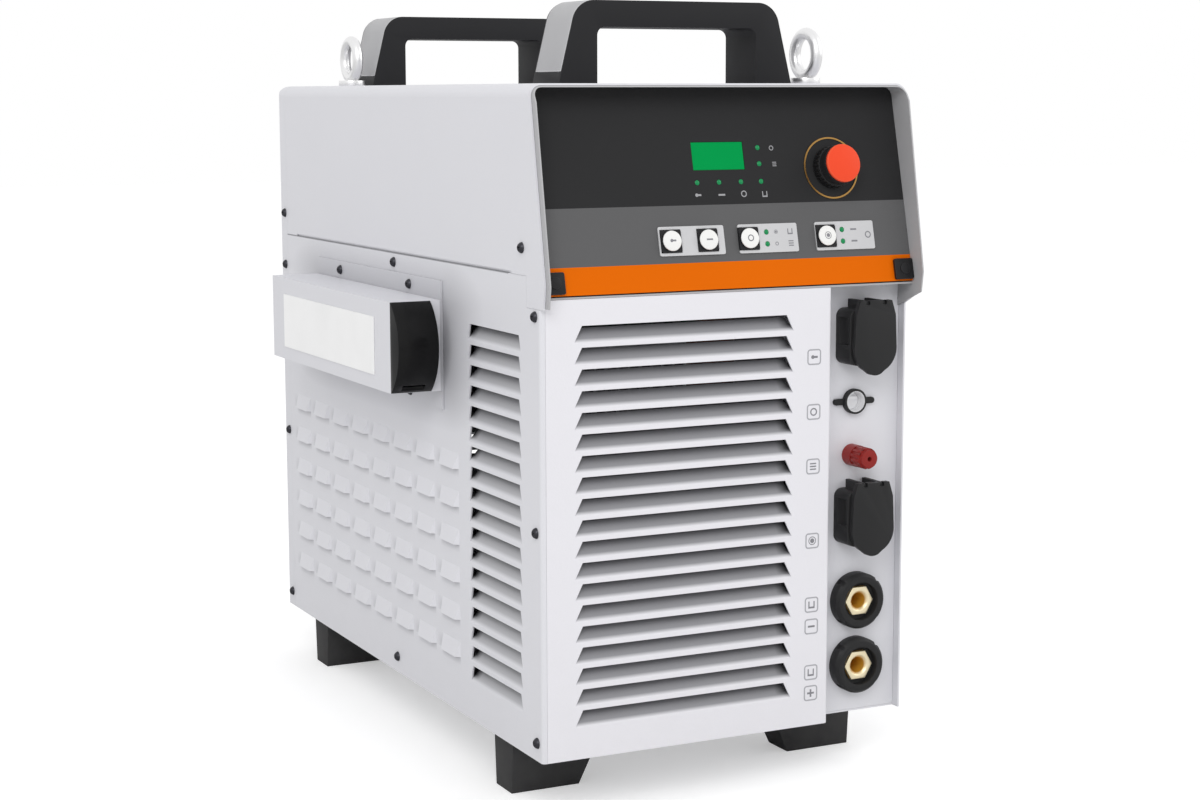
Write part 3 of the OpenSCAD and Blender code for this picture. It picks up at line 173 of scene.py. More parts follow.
class Graph:
    """The node tree of a material, or of the world."""

    # A Mix node keeps the sockets of its colours behind those of its numbers and vectors.
    MIX_FIRST = 6
    MIX_SECOND = 7
    MIX_RESULT = 2

    def __init__(self, tree: bpy.types.NodeTree) -> None:
        """Start from an empty tree."""
        self.tree = tree
        tree.nodes.clear()

    def node(
        self,
        kind: str,
        settings: dict[str, Any] | None = None,
        sockets: dict[str | int, Any] | None = None,
    ) -> bpy.types.Node:
        """Add a node.

        Args:
            kind: The node's type.
            settings: Its properties, such as a Math node's operation, which are set first.
            sockets: The value of each input, or the Term that feeds it.

        Returns:
            The node.
        """
        made = self.tree.nodes.new(kind)
        for name, value in (settings or {}).items():
            setattr(made, name, value)
        for name, value in (sockets or {}).items():
            if isinstance(value, Term):
                self.tree.links.new(value.socket, made.inputs[name])
            else:
                made.inputs[name].default_value = value
        return made

    def term(self, node: bpy.types.Node, output: str | int = 0) -> Term:
        """One output of a node as a Term."""
        return Term(self, node.outputs[output])

    def maths(self, operation: str, first: Term | float, second: Term | float) -> Term:
        """Add a Math node on two values."""
        sockets = {0: first, 1: second}
        return self.term(self.node("ShaderNodeMath", {"operation": operation}, sockets))

    def place(self) -> Term:
        """The point of the surface in the object's own frame."""
        return self.term(self.node("ShaderNodeTexCoord"), "Object")

    def axes(self) -> tuple[Term, Term, Term]:
        """The three coordinates of the point in the object's own frame."""
        split = self.node("ShaderNodeSeparateXYZ", sockets={0: self.place()})
        return self.term(split, 0), self.term(split, 1), self.term(split, 2)

    def noise(self, blotch: Blotch) -> Term:
        """Noise from zero to one.

        Args:
            blotch: Its pattern.

        Returns:
            The noise's value.
        """
        where = self.place()
        if blotch.stretch:
            sockets = {"Vector": where, "Scale": blotch.stretch}
            where = self.term(self.node("ShaderNodeMapping", sockets=sockets))
        sockets = {"Vector": where, "Scale": blotch.scale, "Detail": blotch.detail}
        return self.term(self.node("ShaderNodeTexNoise", sockets=sockets))

    def mottle(self, blotch: Blotch) -> Term:
        """Noise from zero to the pattern's amount."""
        return self.noise(blotch) * blotch.amount

    def wear(self) -> Term:
        """How worn the edge is here: one on a softened edge, and zero elsewhere."""
        return self.term(self.node("ShaderNodeAttribute", {"attribute_name": WEAR}), "Fac")

    def within(self, value: Term, span: tuple[float, float]) -> Term:
        """One where a value lies between two numbers."""
        return (value > span[0]) * (value < span[1])

    def share(self, value: Term, low: float, high: float) -> Term:
        """How far a value has come from one number to another, from zero to one."""
        sockets = {"Value": value, "From Min": low, "From Max": high}
        return self.term(self.node("ShaderNodeMapRange", {"clamp": True}, sockets))

    def larger(self, first: Term | float, second: Term | float) -> Term:
        """The larger of two values."""
        return self.maths("MAXIMUM", first, second)

    def outside(self, value: Term, span: tuple[float, float]) -> Term:
        """How far a value lies outside two numbers, and zero between them."""
        return self.larger(self.larger(span[0] - value, value - span[1]), 0.0)

    def blend(self, factor: Term | float, first: Any, second: Any) -> Term:
        """Mix two colours.

        Args:
            factor: The share of the second colour.
            first: The first colour, or the Term that gives it.
            second: The second colour, or the Term that gives it.

        Returns:
            The mixed colour.
        """
        sockets = {0: factor, self.MIX_FIRST: first, self.MIX_SECOND: second}
        mixed = self.node("ShaderNodeMix", {"data_type": "RGBA"}, sockets)
        return self.term(mixed, self.MIX_RESULT)

    def bump(self, height: Term, depth: float, under: Term | None = None) -> Term:
        """Turn a height from zero to one into a normal.

        Args:
            height: The height.
            depth: What a height of one stands for, in metres.
            under: The normal of a coarser relief below this one.

        Returns:
            The normal.
        """
        sockets = {"Height": height, "Distance": depth, "Strength": 1.0}
        if under is not None:
            sockets["Normal"] = under
        return self.term(self.node("ShaderNodeBump", sockets=sockets))

    def relief(self, blotch: Blotch, under: Term | None = None) -> Term:
        """The normal of a pattern whose amount is its depth, over that of a coarser relief."""
        return self.bump(self.noise(blotch), blotch.amount, under)


# ------------------------------------------------------------------ painted shade and shadow

# The grey of the painted shadow round the intake box and behind and under the hoods.
SHADOW_GREY = "8f8f94"


@dataclass(frozen=True)
class SeamShade:
    """Painted shade: a dark line along the seam between the top cover and the side panels."""

    height: float = 0.425
    reach: float = 0.0009
    span: tuple[float, float] = (-0.262, 0.288)
    amount: float = 0.6
    colour: str = "606064"

    def over(self, graph: Graph, unshaded: Term) -> Term:
        """Lay the painted shade of the seam over the colour of the unshaded sheet.

        Args:
            graph: The material's nodes.
            unshaded: The colour of the unshaded sheet.

        Returns:
            The colour with the painted shade.
        """
        _, y, z = graph.axes()
        away = graph.larger(z - self.height, self.height - z)
        line = (1 - graph.share(away, self.reach / 2, self.reach)) * graph.within(y, self.span)
        return graph.blend(line * self.amount, unshaded, linear(self.colour))


@dataclass(frozen=True)
class BoxShadow:
    """Painted shadow round the air intake box, reaching further along the panel than up it."""

    along: tuple[float, float] = (-0.1275, 0.1825)
    up: tuple[float, float] = (0.317, 0.393)
    reach: float = 0.034
    along_share: float = 0.4
    amount: float = 0.55

    def over(self, graph: Graph, unshaded: Term) -> Term:
        """Lay the painted shadow over the colour of the unshaded sheet.

        Args:
            graph: The material's nodes.
            unshaded: The colour of the unshaded sheet.

        Returns:
            The colour with the painted shadow.
        """
        _, y, z = graph.axes()
        away_y = graph.outside(y, self.along) * self.along_share
        away_z = graph.outside(z, self.up)
        away = (away_y * away_y + away_z * away_z) ** 0.5
        shadowed = (1 - graph.share(away, 0.0, self.reach)) * self.amount
        return graph.blend(shadowed, unshaded, linear(SHADOW_GREY))


# ------------------------------------------------------------------ finishes


@dataclass(frozen=True)
class Finish:
    """A surface finish: its name and its main colour."""

    name: str
    colour: str

    def material(self) -> bpy.types.Material:
        """Make the finish's material on first use.

        Returns:
            The material.
        """
        title = f"{self.name}_finish"
        found = bpy.data.materials.get(title)
        if found is not None:
            return found
        made = bpy.data.materials.new(title)
        made.use_nodes = True
        graph = Graph(made.node_tree)
        shader = graph.node("ShaderNodeBsdfPrincipled", sockets=self.surface(graph))
        graph.node("ShaderNodeOutputMaterial", sockets={"Surface": graph.term(shader)})
        made.diffuse_color = linear(self.colour)
        return made

    def surface(self, graph: Graph) -> dict[str, Any]:
        """The values and links of the shader's sockets."""
        raise NotImplementedError

    def toned(self, graph: Graph, drift: Blotch) -> Term:
        """Darken the main colour in slow blotches.

        Args:
            graph: The material's nodes.
            drift: The pattern, whose amount is the share by which it darkens at most.

        Returns:
            The colour.
        """
        base = linear(self.colour)
        dark = (*[c * (1 - drift.amount) for c in base[:3]], 1.0)
        return graph.blend(graph.noise(drift), base, dark)


@dataclass(frozen=True)
class PowderCoat(Finish):
    """Fine-textured powder coat on sheet steel, with handling marks and dusty lower edges."""

    roughness: float = 0.37
    gloss: float = 0.45
    drift: Blotch = Blotch(7, 3, 0.03)
    grit: Blotch = Blotch(1500, 1, 0.06)
    grit_above: float = 0.66
    grit_colour: str = "b9b7b2"
    low_dust: Blotch = Blotch(38, 4, 0.1)
    low_dust_top: float = 0.16
    low_dust_matt: float = 0.5
    low_dust_colour: str = "a39f98"
    rubbing: Blotch = Blotch(90, 3, 0.45)
    rubbed_colour: str = "f3f2f0"
    peel: Blotch = Blotch(420, 2, 0.00005)
    texture: Blotch = Blotch(1700, 2, 0.000022)
    handling: Blotch = Blotch(16, 4, 0.12)

    def surface(self, graph: Graph) -> dict[str, Any]:
        """Orange peel, fine grit, a drift of tone, rubbed edges and dust low down.

        Args:
            graph: The material's nodes.

        Returns:
            The values and links of the shader's sockets.
        """
        low = graph.larger(1 - graph.axes()[2] / self.low_dust_top, 0.0)
        dust_and_shadow = low * graph.mottle(self.low_dust)
        speck = (graph.noise(self.grit) > self.grit_above) * self.grit.amount
        painted = graph.blend(speck, self.toned(graph, self.drift), linear(self.grit_colour))
        dusty_and_shaded = graph.blend(dust_and_shadow, painted, linear(self.low_dust_colour))
        rubbed = graph.wear() * graph.mottle(self.rubbing)
        return {
            "Base Color": graph.blend(rubbed, dusty_and_shaded, linear(self.rubbed_colour)),
            "Roughness": self.roughness + graph.mottle(self.handling) + dust_and_shadow * self.low_dust_matt,
            "Specular IOR Level": self.gloss,
            "Normal": graph.relief(self.texture, graph.relief(self.peel)),
        }


@dataclass(frozen=True)
class CoverCoat(PowderCoat):
    """Powder coat on the top cover, with painted shade in the seam along its lower edge."""

    seam: SeamShade = SeamShade()

    def surface(self, graph: Graph) -> dict[str, Any]:
        """The coat, and the painted shade of the seam.

        Args:
            graph: The material's nodes.

        Returns:
            The values and links of the shader's sockets.
        """
        sockets = super().surface(graph)
        sockets["Base Color"] = self.seam.over(graph, sockets["Base Color"])
        return sockets


@dataclass(frozen=True)
class LouvredCoat(PowderCoat):
    """Powder coat on a louvred sheet, with painted shade in the throats of its louvres.

    The sheet's face lies at a distance along the outward direction, and its louvres between two
    places across it and two heights. The painted shade grows with depth behind the face, over a
    near and a far stretch, and a darker painted shade with nearness to the low and the high end of
    each louvre.
    """

    outward: tuple[float, float] = (0.0, -1.0)
    plane: float = 0.321
    across: tuple[float, float] = (-0.1425, 0.0550)
    rise: tuple[float, float] = (0.072, 0.389)
    # The painted shade in the louvres: its colours, and the depths and reaches over which it grows.
    throat_shade: str = "8e8e92"
    deep: str = "76767a"
    end_shade: str = "18181a"
    near: tuple[float, float] = (0.0001, 0.0021)
    far: tuple[float, float] = (0.002, 0.0075)
    end_shade_depth: tuple[float, float] = (0.001, 0.0035)
    end_shade_reach: tuple[float, float] = (0.004, 0.014)
    end_shade_amounts: tuple[float, float] = (0.0, 0.95)

    def surface(self, graph: Graph) -> dict[str, Any]:
        """The coat, with painted shade that deepens behind the sheet and towards the ends of each
        louvre.

        Args:
            graph: The material's nodes.

        Returns:
            The values and links of the shader's sockets.
        """
        sockets = super().surface(graph)
        x, y, z = graph.axes()
        depth = self.plane - x * self.outward[0] - y * self.outward[1]
        along = y if self.outward[0] else x
        louvred = graph.within(along, self.across) * graph.within(z, self.rise)
        shade = graph.blend(graph.share(depth, *self.far), linear(self.throat_shade), linear(self.deep))
        low_end = 1 - graph.share(along - self.across[0], *self.end_shade_reach)
        high_end = 1 - graph.share(self.across[1] - along, *self.end_shade_reach)
        ends = low_end * self.end_shade_amounts[0] + high_end * self.end_shade_amounts[1]
        end_shaded = graph.blend(ends * graph.share(depth, *self.end_shade_depth), shade, linear(self.end_shade))
        behind = louvred * graph.share(depth, *self.near)
        sockets["Base Color"] = graph.blend(behind, sockets["Base Color"], end_shaded)
        return sockets


@dataclass(frozen=True)
class VentedCoat(LouvredCoat):
    """Powder coat on a side panel, with painted shadow behind and under its small hoods.

    Pairs of hood values are along the panel and up it. The painted shadow thins out over a stretch
    behind the rear edge of a hood, and over another below its lower edge.
    """

    plane: float = 0.169
    across: tuple[float, float] = (-0.2865, -0.1785)
    rise: tuple[float, float] = (0.079, 0.380)
    throat_shade: str = "b4b4b8"
    deep: str = "909094"
    end_shade_amounts: tuple[float, float] = (0.0, 0.97)
    first_hood: tuple[float, float] = (-0.1575, 0.0955)
    hood_pitch: tuple[float, float] = (0.0536, 0.0319)
    hood_size: tuple[float, float] = (0.038, 0.013)
    hood_counts: tuple[int, int] = (8, 6)
    hood_shadow: float = 0.3
    shadow_behind: tuple[float, float] = (0.004, 0.013)
    shadow_beneath: tuple[float, float] = (0.007, 0.001)
    shadow_height: float = 0.4
    seam: SeamShade = SeamShade()
    box: BoxShadow | None = None

    def surface(self, graph: Graph) -> dict[str, Any]:
        """The louvred coat, with a line of painted shadow along the rear and lower edge of each
        hood.

        Args:
            graph: The material's nodes.

        Returns:
            The values and links of the shader's sockets.
        """
        sockets = super().surface(graph)
        _, y, z = graph.axes()
        pitch_y, pitch_z = self.hood_pitch
        length, height = self.hood_size
        columns, rows = self.hood_counts
        along = y - self.first_hood[0]
        up = z - self.first_hood[1] + pitch_z
        span_z = (pitch_z / 2, pitch_z * rows + pitch_z / 2)
        vented = graph.within(along, (0.0, pitch_y * columns)) * graph.within(up, span_z)
        column = graph.maths("FLOORED_MODULO", along, pitch_y)
        row = graph.maths("FLOORED_MODULO", up, pitch_z)
        start, end = [length + reach for reach in self.shadow_behind]
        level = 1 - graph.share(row, height * self.shadow_height, height)
        behind = (column > length) * (1 - graph.share(column, start, end)) * level
        low, high = [pitch_z - reach for reach in self.shadow_beneath]
        beneath = (1 - graph.share(column, length, start)) * graph.share(row, low, high)
        # Painted shadow behind and under each hood, then the painted shade of the seam above.
        dust_and_shadow = graph.larger(behind, beneath) * vented * self.hood_shadow
        dusty_and_shaded = self.seam.over(graph, graph.blend(dust_and_shadow, sockets["Base Color"], linear(SHADOW_GREY)))
        sockets["Base Color"] = self.box.over(graph, dusty_and_shaded) if self.box else dusty_and_shaded
        return sockets


@dataclass(frozen=True)
class BoxCoat(PowderCoat):
    """Powder coat on the intake box, whose flange carries the same painted shadow as the panel."""

    outer: float = -0.172
    box: BoxShadow = BoxShadow()

    def surface(self, graph: Graph) -> dict[str, Any]:
        """The coat, with the painted shadow on the flange only.

        Args:
            graph: The material's nodes.

        Returns:
            The values and links of the shader's sockets.
        """
        sockets = super().surface(graph)
        flange = graph.axes()[0] > self.outer
        dusty_and_shaded = self.box.over(graph, sockets["Base Color"])
        sockets["Base Color"] = graph.blend(flange, sockets["Base Color"], dusty_and_shaded)
        return sockets


@dataclass(frozen=True)
class MouldedPlastic(Finish):
    """Injection-moulded plastic with a spark-eroded grain."""

    roughness: float = 0.42
    depth: float = 0.00003
    gloss: float = 0.25
    drift: Blotch = Blotch(18, 3, 0.12)
    sheen: Blotch = Blotch(22, 3, 0.16)
    grain: Blotch = Blotch(1900, 3)
    rubbing: Blotch = Blotch(140, 3, 0.35)
    rubbed: float = 0.05
    paler: float = 2.2
    pale: float = 0.03

    def surface(self, graph: Graph) -> dict[str, Any]:
        """Fine grain, handling sheen and paler rubbed edges.

        Args:
            graph: The material's nodes.

        Returns:
            The values and links of the shader's sockets.
        """
        base = linear(self.colour)
        worn = (*[min(1.0, c * self.paler + self.pale) for c in base[:3]], 1.0)
        edge = graph.wear() * (graph.mottle(self.rubbing) + self.rubbed)
        return {
            "Base Color": graph.blend(edge, self.toned(graph, self.drift), worn),
            "Roughness": self.roughness + graph.mottle(self.sheen),
            "Specular IOR Level": self.gloss,
            "Normal": graph.bump(graph.noise(self.grain), self.depth),
        }


@dataclass(frozen=True)
class LinedMouth(MouldedPlastic):
    """Dark plastic round a mouth that is lined in a pale one."""

    axis: tuple[float, float] = (0.1238, 0.311)
    radius: float = 0.0086
    lining: str = "dcdcde"

    def surface(self, graph: Graph) -> dict[str, Any]:
        """The dark plastic, and the pale one inside the mouth.

        Args:
            graph: The material's nodes.

        Returns:
            The values and links of the shader's sockets.
        """
        sockets = super().surface(graph)
        x, _, z = graph.axes()
        side = x - self.axis[0]
        up = z - self.axis[1]
        inside = side * side + up * up < self.radius**2
        sockets["Base Color"] = graph.blend(inside, sockets["Base Color"], linear(self.lining))
        return sockets


@dataclass(frozen=True)
class Rubber(Finish):
    """Hard rubber, dull, with a bloom and dust on it."""

    roughness: float = 0.72
    gloss: float = 0.3
    drift: Blotch = Blotch(25, 3, 0.15)
    bloom: Blotch = Blotch(60, 5, 0.25)
    bloom_matt: float = 0.4
    bloom_colour: str = "6a6864"
    pits: Blotch = Blotch(900, 4, 0.00008)

    def surface(self, graph: Graph) -> dict[str, Any]:
        """Bloom in large soft blotches over a dull pitted skin.

        Args:
            graph: The material's nodes.

        Returns:
            The values and links of the shader's sockets.
        """
        bloom = graph.mottle(self.bloom)
        skin = self.toned(graph, self.drift)
        return {
            "Base Color": graph.blend(bloom, skin, linear(self.bloom_colour)),
            "Roughness": self.roughness + bloom * self.bloom_matt,
            "Specular IOR Level": self.gloss,
            "Normal": graph.relief(self.pits),
        }


@dataclass(frozen=True)
class PlatedMetal(Finish):
    """Plated or cast metal: blotchy lustre and fine scratches."""

    roughness: float = 0.2
    blotch: float = 0.18
    tint: str = "d9cfae"
    patches: Blotch = Blotch(70, 4, 0.14)
    scratches: Blotch = Blotch(240, 3, 0.06, (1, 9, 9))
    scratch_depth: float = 0.00002
    bared: float = 0.4
    bared_colour: str = "f6f4ee"

    def surface(self, graph: Graph) -> dict[str, Any]:
        """Patches of tint and lustre with scratches that run one way.

        Args:
            graph: The material's nodes.

        Returns:
            The values and links of the shader's sockets.
        """
        patches = graph.noise(self.patches)
        scratches = graph.noise(self.scratches)
        tinted = graph.blend(patches * self.blotch, linear(self.colour), linear(self.tint))
        lustre = patches * self.patches.amount + scratches * self.scratches.amount
        return {
            "Base Color": graph.blend(graph.wear() * self.bared, tinted, linear(self.bared_colour)),
            "Metallic": 1.0,
            "Roughness": self.roughness + lustre,
            "Normal": graph.bump(scratches, self.scratch_depth),
        }


@dataclass(frozen=True)
class SocketBrass(Finish):
    """Brass of an output contact: a pale rim, a painted highlight on its face, and a golden bore.

    The rim's face lies at a place along Y, and the brass turns golden over a stretch behind it.
    """

    rim_y: float = -0.3075
    golden: tuple[float, float] = (0.0004, 0.003)
    rim_highlight: str = "f7ebcb"
    rim_dark: str = "dcc48c"
    rim_marks: float = 0.3
    bore_dark: str = "c79a3c"
    bore_marks: float = 0.5
    metallic: float = 0.75
    bore_metallic: float = 0.25
    roughness: float = 0.3
    marks: Blotch = Blotch(260, 3, 0.15, (1, 14, 1))
    mark_depth: float = 0.00002

    def surface(self, graph: Graph) -> dict[str, Any]:
        """A rim that turns golden with depth, with turning marks all over.

        Args:
            graph: The material's nodes.

        Returns:
            The values and links of the shader's sockets.
        """
        start, end = [self.rim_y + reach for reach in self.golden]
        deep = graph.share(graph.axes()[1], start, end)
        marks = graph.noise(self.marks)
        # The pale rim is a painted highlight on the contact's face; the bore keeps the brass's own
        # gold.
        rim = graph.blend(marks * self.rim_marks, linear(self.rim_highlight), linear(self.rim_dark))
        bore = graph.blend(marks * self.bore_marks, linear(self.colour), linear(self.bore_dark))
        return {
            "Base Color": graph.blend(deep, rim, bore),
            "Metallic": self.metallic - deep * (self.metallic - self.bore_metallic),
            "Roughness": self.roughness + marks * self.marks.amount,
            "Normal": graph.bump(marks, self.mark_depth),
        }


@dataclass(frozen=True)
class Extrusion(Finish):
    """Extruded aluminium with draw lines along its length."""

    roughness: float = 0.3
    lines: Blotch = Blotch(900, 2, 0.25, (1, 0.02, 1))
    line_depth: float = 0.00003
    line_share: float = 0.35
    line_colour: str = "8d9094"

    def surface(self, graph: Graph) -> dict[str, Any]:
        """Draw lines along Y in lustre and relief.

        Args:
            graph: The material's nodes.

        Returns:
            The values and links of the shader's sockets.
        """
        lines = graph.noise(self.lines)
        drawn = graph.blend(lines * self.line_share, linear(self.colour), linear(self.line_colour))
        return {
            "Base Color": drawn,
            "Metallic": 1.0,
            "Roughness": self.roughness + lines * self.lines.amount,
            "Normal": graph.bump(lines, self.line_depth),
        }


@dataclass(frozen=True)
class CircuitBoard(Finish):
    """Green solder mask over a pattern of copper areas."""

    roughness: float = 0.32
    gloss: float = 0.5
    drift: Blotch = Blotch(30, 3, 0.1)
    sheen: Blotch = Blotch(120, 2, 0.12)
    cell_scale: float = 170.0
    copper_above: float = 0.42
    copper_share: float = 0.8
    copper_colour: str = "1d5a2e"
    copper_height: float = 0.00004

    def surface(self, graph: Graph) -> dict[str, Any]:
        """Copper areas that show through the mask as lighter cells.

        Args:
            graph: The material's nodes.

        Returns:
            The values and links of the shader's sockets.
        """
        sockets = {"Vector": graph.place(), "Scale": self.cell_scale}
        settings = {"distance": "CHEBYCHEV", "feature": "F1"}
        cells = graph.term(graph.node("ShaderNodeTexVoronoi", settings, sockets))
        copper = cells > self.copper_above
        mask = self.toned(graph, self.drift)
        return {
            "Base Color": graph.blend(copper * self.copper_share, mask, linear(self.copper_colour)),
            "Roughness": self.roughness + graph.mottle(self.sheen),
            "Specular IOR Level": self.gloss,
            "Normal": graph.bump(copper, self.copper_height),
        }


@dataclass(frozen=True)
class Winding(Finish):
    """Enamelled copper wire wound in tight turns."""

    wire_scale: float = 98.73
    wire_sway: float = 0.4
    wire_depth: float = 0.0003
    gap_shade: str = "4a2410"
    roughness: float = 0.34
    drift: Blotch = Blotch(50, 3, 0.2)
    sheen: Blotch = Blotch(80, 2, 0.1)
    coat: float = 0.4
    coat_roughness: float = 0.15

    def surface(self, graph: Graph) -> dict[str, Any]:
        """Turns stacked one on another along Z, with painted shade in the gaps between them.

        Args:
            graph: The material's nodes.

        Returns:
            The values and links of the shader's sockets.
        """
        settings = {"wave_type": "BANDS", "bands_direction": "Z", "wave_profile": "SIN"}
        sockets = {"Vector": graph.place(), "Scale": self.wire_scale, "Distortion": self.wire_sway}
        wires = graph.term(graph.node("ShaderNodeTexWave", settings, sockets), "Fac")
        enamel = self.toned(graph, self.drift)
        return {
            "Base Color": graph.blend(wires, linear(self.gap_shade), enamel),
            "Roughness": self.roughness + graph.mottle(self.sheen),
            "Coat Weight": self.coat,
            "Coat Roughness": self.coat_roughness,
            "Normal": graph.bump(wires, self.wire_depth),
        }


@dataclass(frozen=True)
class FilmBands(Finish):
    """Printed control film: dark field, grey band and orange band down the slope.

    Each band starts at a distance down the slope from the film's top edge.
    """

    top: float = 0.555
    slope: float = math.radians(13.4)
    grey_at: float = 0.0815
    grey_colours: tuple[str, str] = ("636364", "5d5d5e")
    orange_at: float = 0.1268
    orange_colours: tuple[str, str] = ("e16900", "da6400")
    roughness: float = 0.46
    gloss: float = 0.05
    dark_drift: Blotch = Blotch(14, 3, 0.1)
    band_drift: Blotch = Blotch(9, 3)
    handling: Blotch = Blotch(26, 4, 0.12)
    grain: Blotch = Blotch(2600, 2, 0.000012)

    def surface(self, graph: Graph) -> dict[str, Any]:
        """Bands by the height of the point, under a finely grained film.

        Args:
            graph: The material's nodes.

        Returns:
            The values and links of the shader's sockets.
        """
        down = (self.top - graph.axes()[2]) / math.cos(self.slope)
        drift = graph.noise(self.band_drift)
        grey = graph.blend(drift, *map(linear, self.grey_colours))
        orange = graph.blend(drift, *map(linear, self.orange_colours))
        upper = graph.blend(down > self.grey_at, self.toned(graph, self.dark_drift), grey)
        return {
            "Base Color": graph.blend(down > self.orange_at, upper, orange),
            "Roughness": self.roughness + graph.mottle(self.handling),
            "Specular IOR Level": self.gloss,
            "Normal": graph.relief(self.grain),
        }


@dataclass(frozen=True)
class LitWindow(Finish):
    """A tinted display window over a lit green panel."""

    pixels: float = 1600.0
    pixel_share: float = 0.16
    pixel_colour: str = "017a3c"
    drift: Blotch = Blotch(30, 3, 0.08)
    sheen: Blotch = Blotch(40, 2, 0.08)
    glow: float = 0.06
    roughness: float = 0.3
    gloss: float = 0.03
    coat: float = 0.02
    coat_roughness: float = 0.06

    def surface(self, graph: Graph) -> dict[str, Any]:
        """A fine mesh of pixels over a drift of tone, under a thin gloss coat.

        Args:
            graph: The material's nodes.

        Returns:
            The values and links of the shader's sockets.
        """
        across, _, up = graph.axes()
        columns = graph.maths("PINGPONG", across * self.pixels, 1.0)
        rows = graph.maths("PINGPONG", up * self.pixels, 1.0)
        mesh = columns * rows * self.pixel_share
        tone = graph.blend(mesh, self.toned(graph, self.drift), linear(self.pixel_colour))
        return {
            "Base Color": tone,
            "Emission Color": tone,
            "Emission Strength": self.glow,
            "Roughness": self.roughness + graph.mottle(self.sheen),
            "Specular IOR Level": self.gloss,
            "Coat Weight": self.coat,
            "Coat Roughness": self.coat_roughness,
        }


@dataclass(frozen=True)
class LampLens(Finish):
    """A small tinted lens with a faint glow."""

    milk: Blotch = Blotch(800, 3, 0.35)
    milk_matt: float = 0.2
    milk_colour: str = "1f9a5c"
    roughness: float = 0.22
    gloss: float = 0.2
    coat: float = 0.1
    glow: float = 0.15

    def surface(self, graph: Graph) -> dict[str, Any]:
        """A tint with a milky diffuser under gloss.

        Args:
            graph: The material's nodes.

        Returns:
            The values and links of the shader's sockets.
        """
        milky = graph.mottle(self.milk)
        return {
            "Base Color": graph.blend(milky, linear(self.colour), linear(self.milk_colour)),
            "Roughness": self.roughness + milky * self.milk_matt,
            "Specular IOR Level": self.gloss,
            "Coat Weight": self.coat,
            "Emission Color": linear(self.colour),
            "Emission Strength": self.glow,
        }


@dataclass(frozen=True)
class Ink(Finish):
    """Screen-printed ink: thin, matt and slightly uneven."""

    roughness: float = 0.55
    gloss: float = 0.3
    drift: Blotch = Blotch(160, 3, 0.12)
    sheen: Blotch = Blotch(300, 2, 0.1)
    grain: Blotch = Blotch(2200, 2, 0.00001)

    def surface(self, graph: Graph) -> dict[str, Any]:
        """A slight drift of tone and a dull face.

        Args:
            graph: The material's nodes.

        Returns:
            The values and links of the shader's sockets.
        """
        return {
            "Base Color": self.toned(graph, self.drift),
            "Roughness": self.roughness + graph.mottle(self.sheen),
            "Specular IOR Level": self.gloss,
            "Normal": graph.relief(self.grain),
        }


